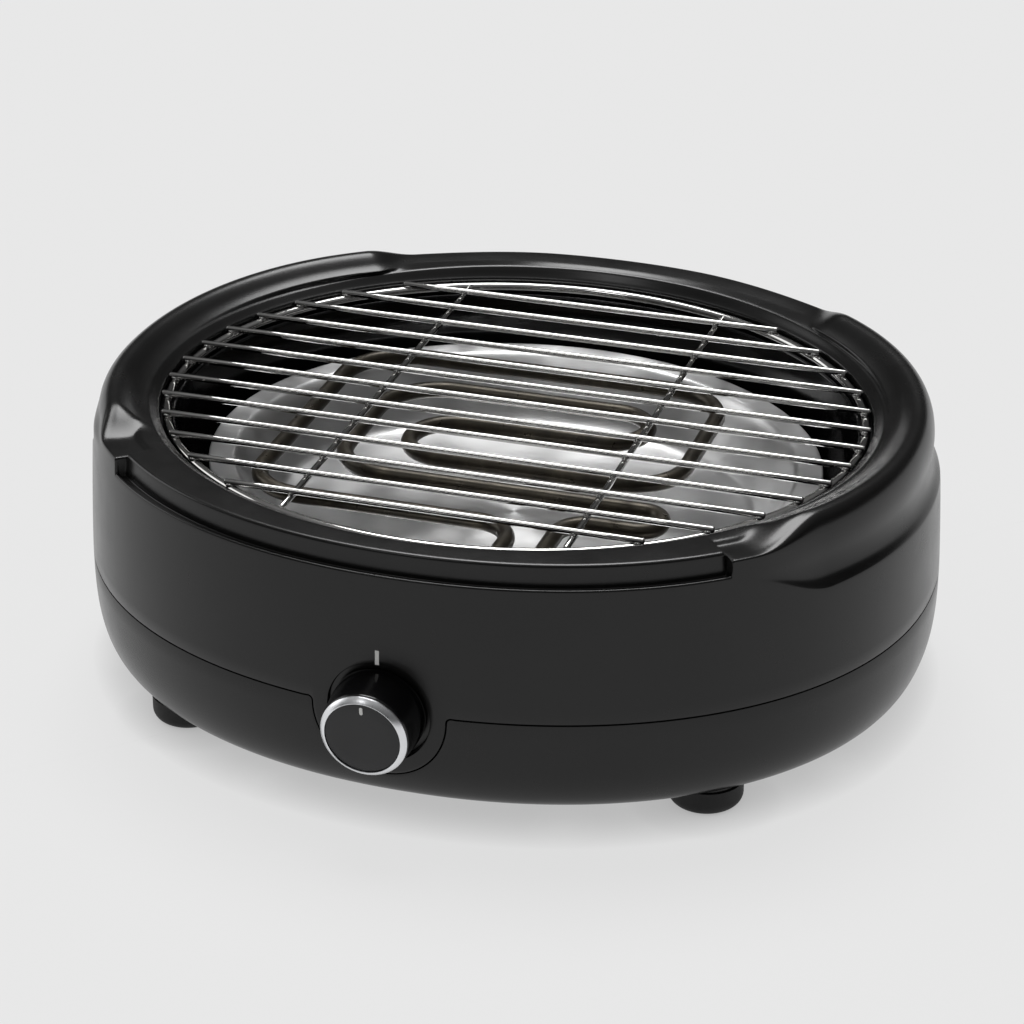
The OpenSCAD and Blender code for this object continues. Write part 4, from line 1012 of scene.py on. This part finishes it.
def plastic(name, base, rough, spread=0.05, grain=1400, depth=0.00002):
    m = Nodes(name, base, rough)
    m.set("IOR", 1.45)
    m.colour(m.noise(35, 4), shades(base, 0.85, 1.15))
    m.rough(m.noise(60, 5, 0.6), 0.3, 0.7, rough - spread, rough + spread)
    m.relief(m.noise(grain, 2), depth, 0.35)
    return m.mat


def metal(name, base, rough, spread, scale=500, depth=0.000015, strength=0.3):
    m = Nodes(name, base, rough, 1.0)
    m.colour(m.noise(90, 4), shades(base, 0.9, 1.06))
    m.rough(m.noise(180, 5, 0.6), 0.3, 0.7, rough - spread, rough + spread)
    m.relief(m.noise(scale, 3), depth, strength)
    return m.mat


def casing_material():
    base = (0.0045, 0.0044, 0.0043)
    m = Nodes("casing_moulding", base, 0.25)
    m.set("IOR", 1.42)
    m.colour(m.noise(22, 4), shades(base, 0.8, 1.25))
    m.rough(m.noise(45, 5, 0.6), 0.3, 0.7, 0.22, 0.28)
    m.relief(m.noise(24, 2, 0.4), 0.0002, 0.2)
    m.relief(m.noise(1500, 2), 0.000012, 0.4)
    return m.mat


def enamel_material():
    base = (0.003, 0.003, 0.0032)
    m = Nodes("basin_glaze", base, 0.1)
    m.set("IOR", 1.42)
    m.colour(m.noise(40, 4), shades(base, 0.8, 1.4))
    m.rough(m.noise(70, 5), 0.3, 0.7, 0.08, 0.15)
    m.relief(m.noise(120, 2), 0.00012, 0.25)
    return m.mat


def sheath_material():
    m = Nodes("sheath_oxide", (0.03, 0.026, 0.02), 0.34, 0.6)
    m.colour(m.noise(55, 6, 0.65), [
        (0.3, (0.022, 0.019, 0.014)), (0.55, (0.045, 0.038, 0.027)),
        (0.75, (0.085, 0.072, 0.052)),
    ])
    m.rough(m.noise(160, 5), 0.3, 0.7, 0.26, 0.4)
    m.relief(m.noise(900, 3), 0.00001, 0.3)
    return m.mat


def tray_material():
    base = (0.7, 0.7, 0.7)
    m = Nodes("tray_polish", base, 0.34, 1.0)
    # Brushed in circles
    m.set("Anisotropic", 0.6)
    m.set("Anisotropic Rotation", 0.25)
    round_it = m.node("Tangent")
    round_it.direction_type = "RADIAL"
    round_it.axis = "Z"
    m.link(round_it.outputs["Tangent"], m.bsdf.inputs["Tangent"])
    m.colour(m.noise(26, 4), shades(base, 0.92, 1.06))
    m.rough(m.noise(50, 5, 0.6), 0.3, 0.7, 0.28, 0.4)
    m.relief(m.folds((5, 0.5, 0.4), (8, 0.35, 2.1), (13, 0.2, 1.0)), 0.0022, 0.5)
    m.relief(m.noise(14, 1, 0.4), 0.0006, 0.25)
    return m.mat


CASING = casing_material()
ENAMEL = enamel_material()
SHEATH = sheath_material()
TRAY = tray_material()
CHROME = metal("wire_chrome", (0.52, 0.515, 0.505), 0.08, 0.02, 400, 0.00001, 0.2)
KNOB_BLACK = plastic("knob_moulding", (0.004, 0.004, 0.0045), 0.13, 0.03, 1200, 0.00001)
KNOB_DISC = plastic("knob_disc_moulding", (0.012, 0.012, 0.013), 0.34, 0.05)
KNOB_METAL = metal("knob_bezel_metal", (0.86, 0.87, 0.89), 0.3, 0.05)
WHITE = plastic("white_print", (0.75, 0.75, 0.73), 0.5)
RUBBER = plastic("foot_rubber", (0.012, 0.012, 0.012), 0.62, 0.08, 900, 0.00006)
STEEL = metal("zinc_steel", (0.55, 0.54, 0.52), 0.34, 0.08, 700, 0.00003)
BRASS = metal("brass_metal", (0.62, 0.45, 0.18), 0.3, 0.07)
CERAMIC = plastic("white_ceramic", (0.72, 0.7, 0.64), 0.55, 0.08, 800, 0.00004)
PHENOLIC = plastic("brown_phenolic", (0.05, 0.025, 0.014), 0.42, 0.08)
TERMINAL = plastic("terminal_nylon", (0.68, 0.67, 0.63), 0.45, 0.08)
BROWN = plastic("brown_sleeve", (0.11, 0.045, 0.02), 0.45, 0.07)
BLUE = plastic("blue_sleeve", (0.02, 0.07, 0.25), 0.45, 0.07)

# ---- Dressing ----
stand_in(upper_casing(CASING), "upper_shell", "housing")
stand_in(lower_casing(CASING), "lower_shell", "housing")
stand_in(basin_piece(ENAMEL), "basin", "housing")
stand_in(tray_piece(TRAY), "drip_tray", "tray")
stand_in(element_piece(SHEATH), "heating_tube", "element")
stand_in(ring_piece(CHROME), "rack_ring", "rack")
stand_in(bars_piece(CHROME), "rack_bars", "rack")
stand_in(cross_piece(CHROME), "rack_cross_wires", "rack")
stand_in(barrel_piece(KNOB_BLACK), "knob_barrel", "knob")
stand_in(bezel_piece(KNOB_METAL), "knob_ring", "knob")
stand_in(cap_piece(KNOB_DISC), "knob_cap", "knob")
stand_in(pointer_piece(WHITE), "knob_pointer", "knob")
stand_in(feet_piece(RUBBER), "feet", "housing")

CARRIED = {
    CERAMIC: ["tube_end_collars", "thermal_cutout"],
    STEEL: ["contact_pins", "socket_bracket", "thermostat_nut", "knob_spindle", "foot_screws",
            "shell_screws", "basin_posts", "post_screws", "heat_shield", "inlet_lock_ring"],
    BRASS: ["socket_contacts", "thermostat_bushing", "terminal_screws"],
    PHENOLIC: ["element_socket", "thermostat_body"],
    WHITE: ["dial_mark"],
    TERMINAL: ["terminal_block"],
    RUBBER: ["cord_inlet"],
    BROWN: ["live_lead", "socket_lead"],
    BLUE: ["neutral_lead"],
}
for finish, names in CARRIED.items():
    for name in names:
        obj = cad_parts[name]
        obj.data.materials.clear()
        obj.data.materials.append(finish)


# ---- Stage: floor, light, camera ----
FLOOR_SIZE = 60.0  # from the middle to each side, in metres
FLOOR_GREY, FLOOR_LIFT = 0.807, 0.88  # its plain colour, and that colour's share in what is seen
# Reach in metres of the painted shade round things on the floor, and how dark that painted shade
# gets
CONTACT_REACH, CONTACT_SHADE = 0.02, 0.5
# Grey of the surroundings against height: a pale wall round the horizon, dark above it
SKY = [(0.0, 0.8), (0.08, 0.8), (0.15, 0.05), (0.38, 0.05), (0.75, 0.2), (1.0, 0.45)]
# Name, direction towards it, strength, and width in degrees
SUNS = [
    ("soft_key", (-0.14, 0.42, 0.9), 2.4, 32),
    ("glint", (-0.28, -0.55, 0.8), 0.1, 10),
    ("side_glow", (-1.0, 0.1, 0.42), 0.5, 36),
]
# Place in millimetres, direction of view, turn of the picture's level line, and focal length
CAMERA_AT = (443.43, -1385.82, 795.26)
CAMERA_AHEAD = (-0.27372, 0.85303, -0.44432)
CAMERA_TURN, CAMERA_LENS = 17.79, 119.123


def floor_piece():
    mesh = bpy.data.meshes.new("floor")
    corners = [(x * FLOOR_SIZE, y * FLOOR_SIZE, 0) for x, y in ((-1, -1), (1, -1), (1, 1), (-1, 1))]
    mesh.from_pydata(corners, [], [(0, 1, 2, 3)])
    m = Nodes("floor_paint", (0.8, 0.8, 0.8), 0.9)
    m.set("Specular IOR Level", 0.0)
    m.colour(m.noise(3, 2), [(0.3, (0.8, 0.8, 0.8)), (0.7, (0.81, 0.81, 0.81))])
    lit_backdrop(m, FLOOR_GREY, FLOOR_LIFT)
    mesh.materials.append(m.mat)
    add_object("floor", mesh)


def lit_backdrop(m, grey, share):
    """Camera, metal and glass see a share of the floor as plain grey, with painted shade near
    things.
    """
    path = m.node("LightPath")
    seen = path.outputs["Is Camera Ray"]
    for key in ("Is Glossy Ray", "Is Transmission Ray"):
        seen = m.math("MAXIMUM", seen, path.outputs[key])
    # Painted shade: the floor's glow is darkened by ambient occlusion where things stand near it
    painted_contact_shade = m.node("AmbientOcclusion", Distance=CONTACT_REACH)
    glow = m.node("Emission")
    m.link(m.ramp(painted_contact_shade.outputs["AO"], 0, 1, CONTACT_SHADE * grey, grey), glow.inputs["Color"])
    mix = m.node("MixShader")
    m.link(m.ramp(seen, 0, 1, 0, share), mix.inputs[0])
    m.link(m.bsdf.outputs["BSDF"], mix.inputs[1])
    m.link(glow.outputs["Emission"], mix.inputs[2])
    m.link(mix.outputs["Shader"], m.tree.nodes["Material Output"].inputs["Surface"])


def studio():
    world = bpy.data.worlds.new("studio")
    bpy.context.scene.world = world
    world.use_nodes = True
    tree = world.node_tree
    sky = tree.nodes["Background"]
    sky.inputs["Strength"].default_value = 1.0
    place = tree.nodes.new("ShaderNodeTexCoord")
    split = tree.nodes.new("ShaderNodeSeparateXYZ")
    tree.links.new(place.outputs["Generated"], split.inputs[0])
    ramp = tree.nodes.new("ShaderNodeValToRGB")
    tree.links.new(split.outputs["Z"], ramp.inputs[0])
    fill_ramp(ramp, [(at, (grey, grey, grey)) for at, grey in SKY])
    tree.links.new(ramp.outputs["Color"], sky.inputs["Color"])
    for name, direction, energy, angle in SUNS:
        light = bpy.data.lights.new(name, "SUN")
        light.energy, light.angle = energy, math.radians(angle)
        obj = add_object(name, light)
        obj.rotation_mode = "QUATERNION"
        obj.rotation_quaternion = Vector(direction).to_track_quat("Z", "Y")


def camera():
    forward = Vector(CAMERA_AHEAD).normalized()
    side = math.radians(CAMERA_TURN)
    right = Vector((math.cos(side), math.sin(side), 0))
    up = right.cross(forward)
    lens = bpy.data.cameras.new("camera")
    lens.lens, lens.sensor_width = CAMERA_LENS, 36.0
    lens.clip_start, lens.clip_end = 0.05, 50.0
    obj = add_object("camera", lens)
    place = Matrix((right, up, -forward)).transposed().to_4x4()
    place.translation = Vector(CAMERA_AT) * MM
    obj.matrix_world = place
    bpy.context.scene.camera = obj


floor_piece()
studio()
camera()
bpy.context.scene.view_settings.view_transform = "Standard"

bpy.context.view_layer.update()
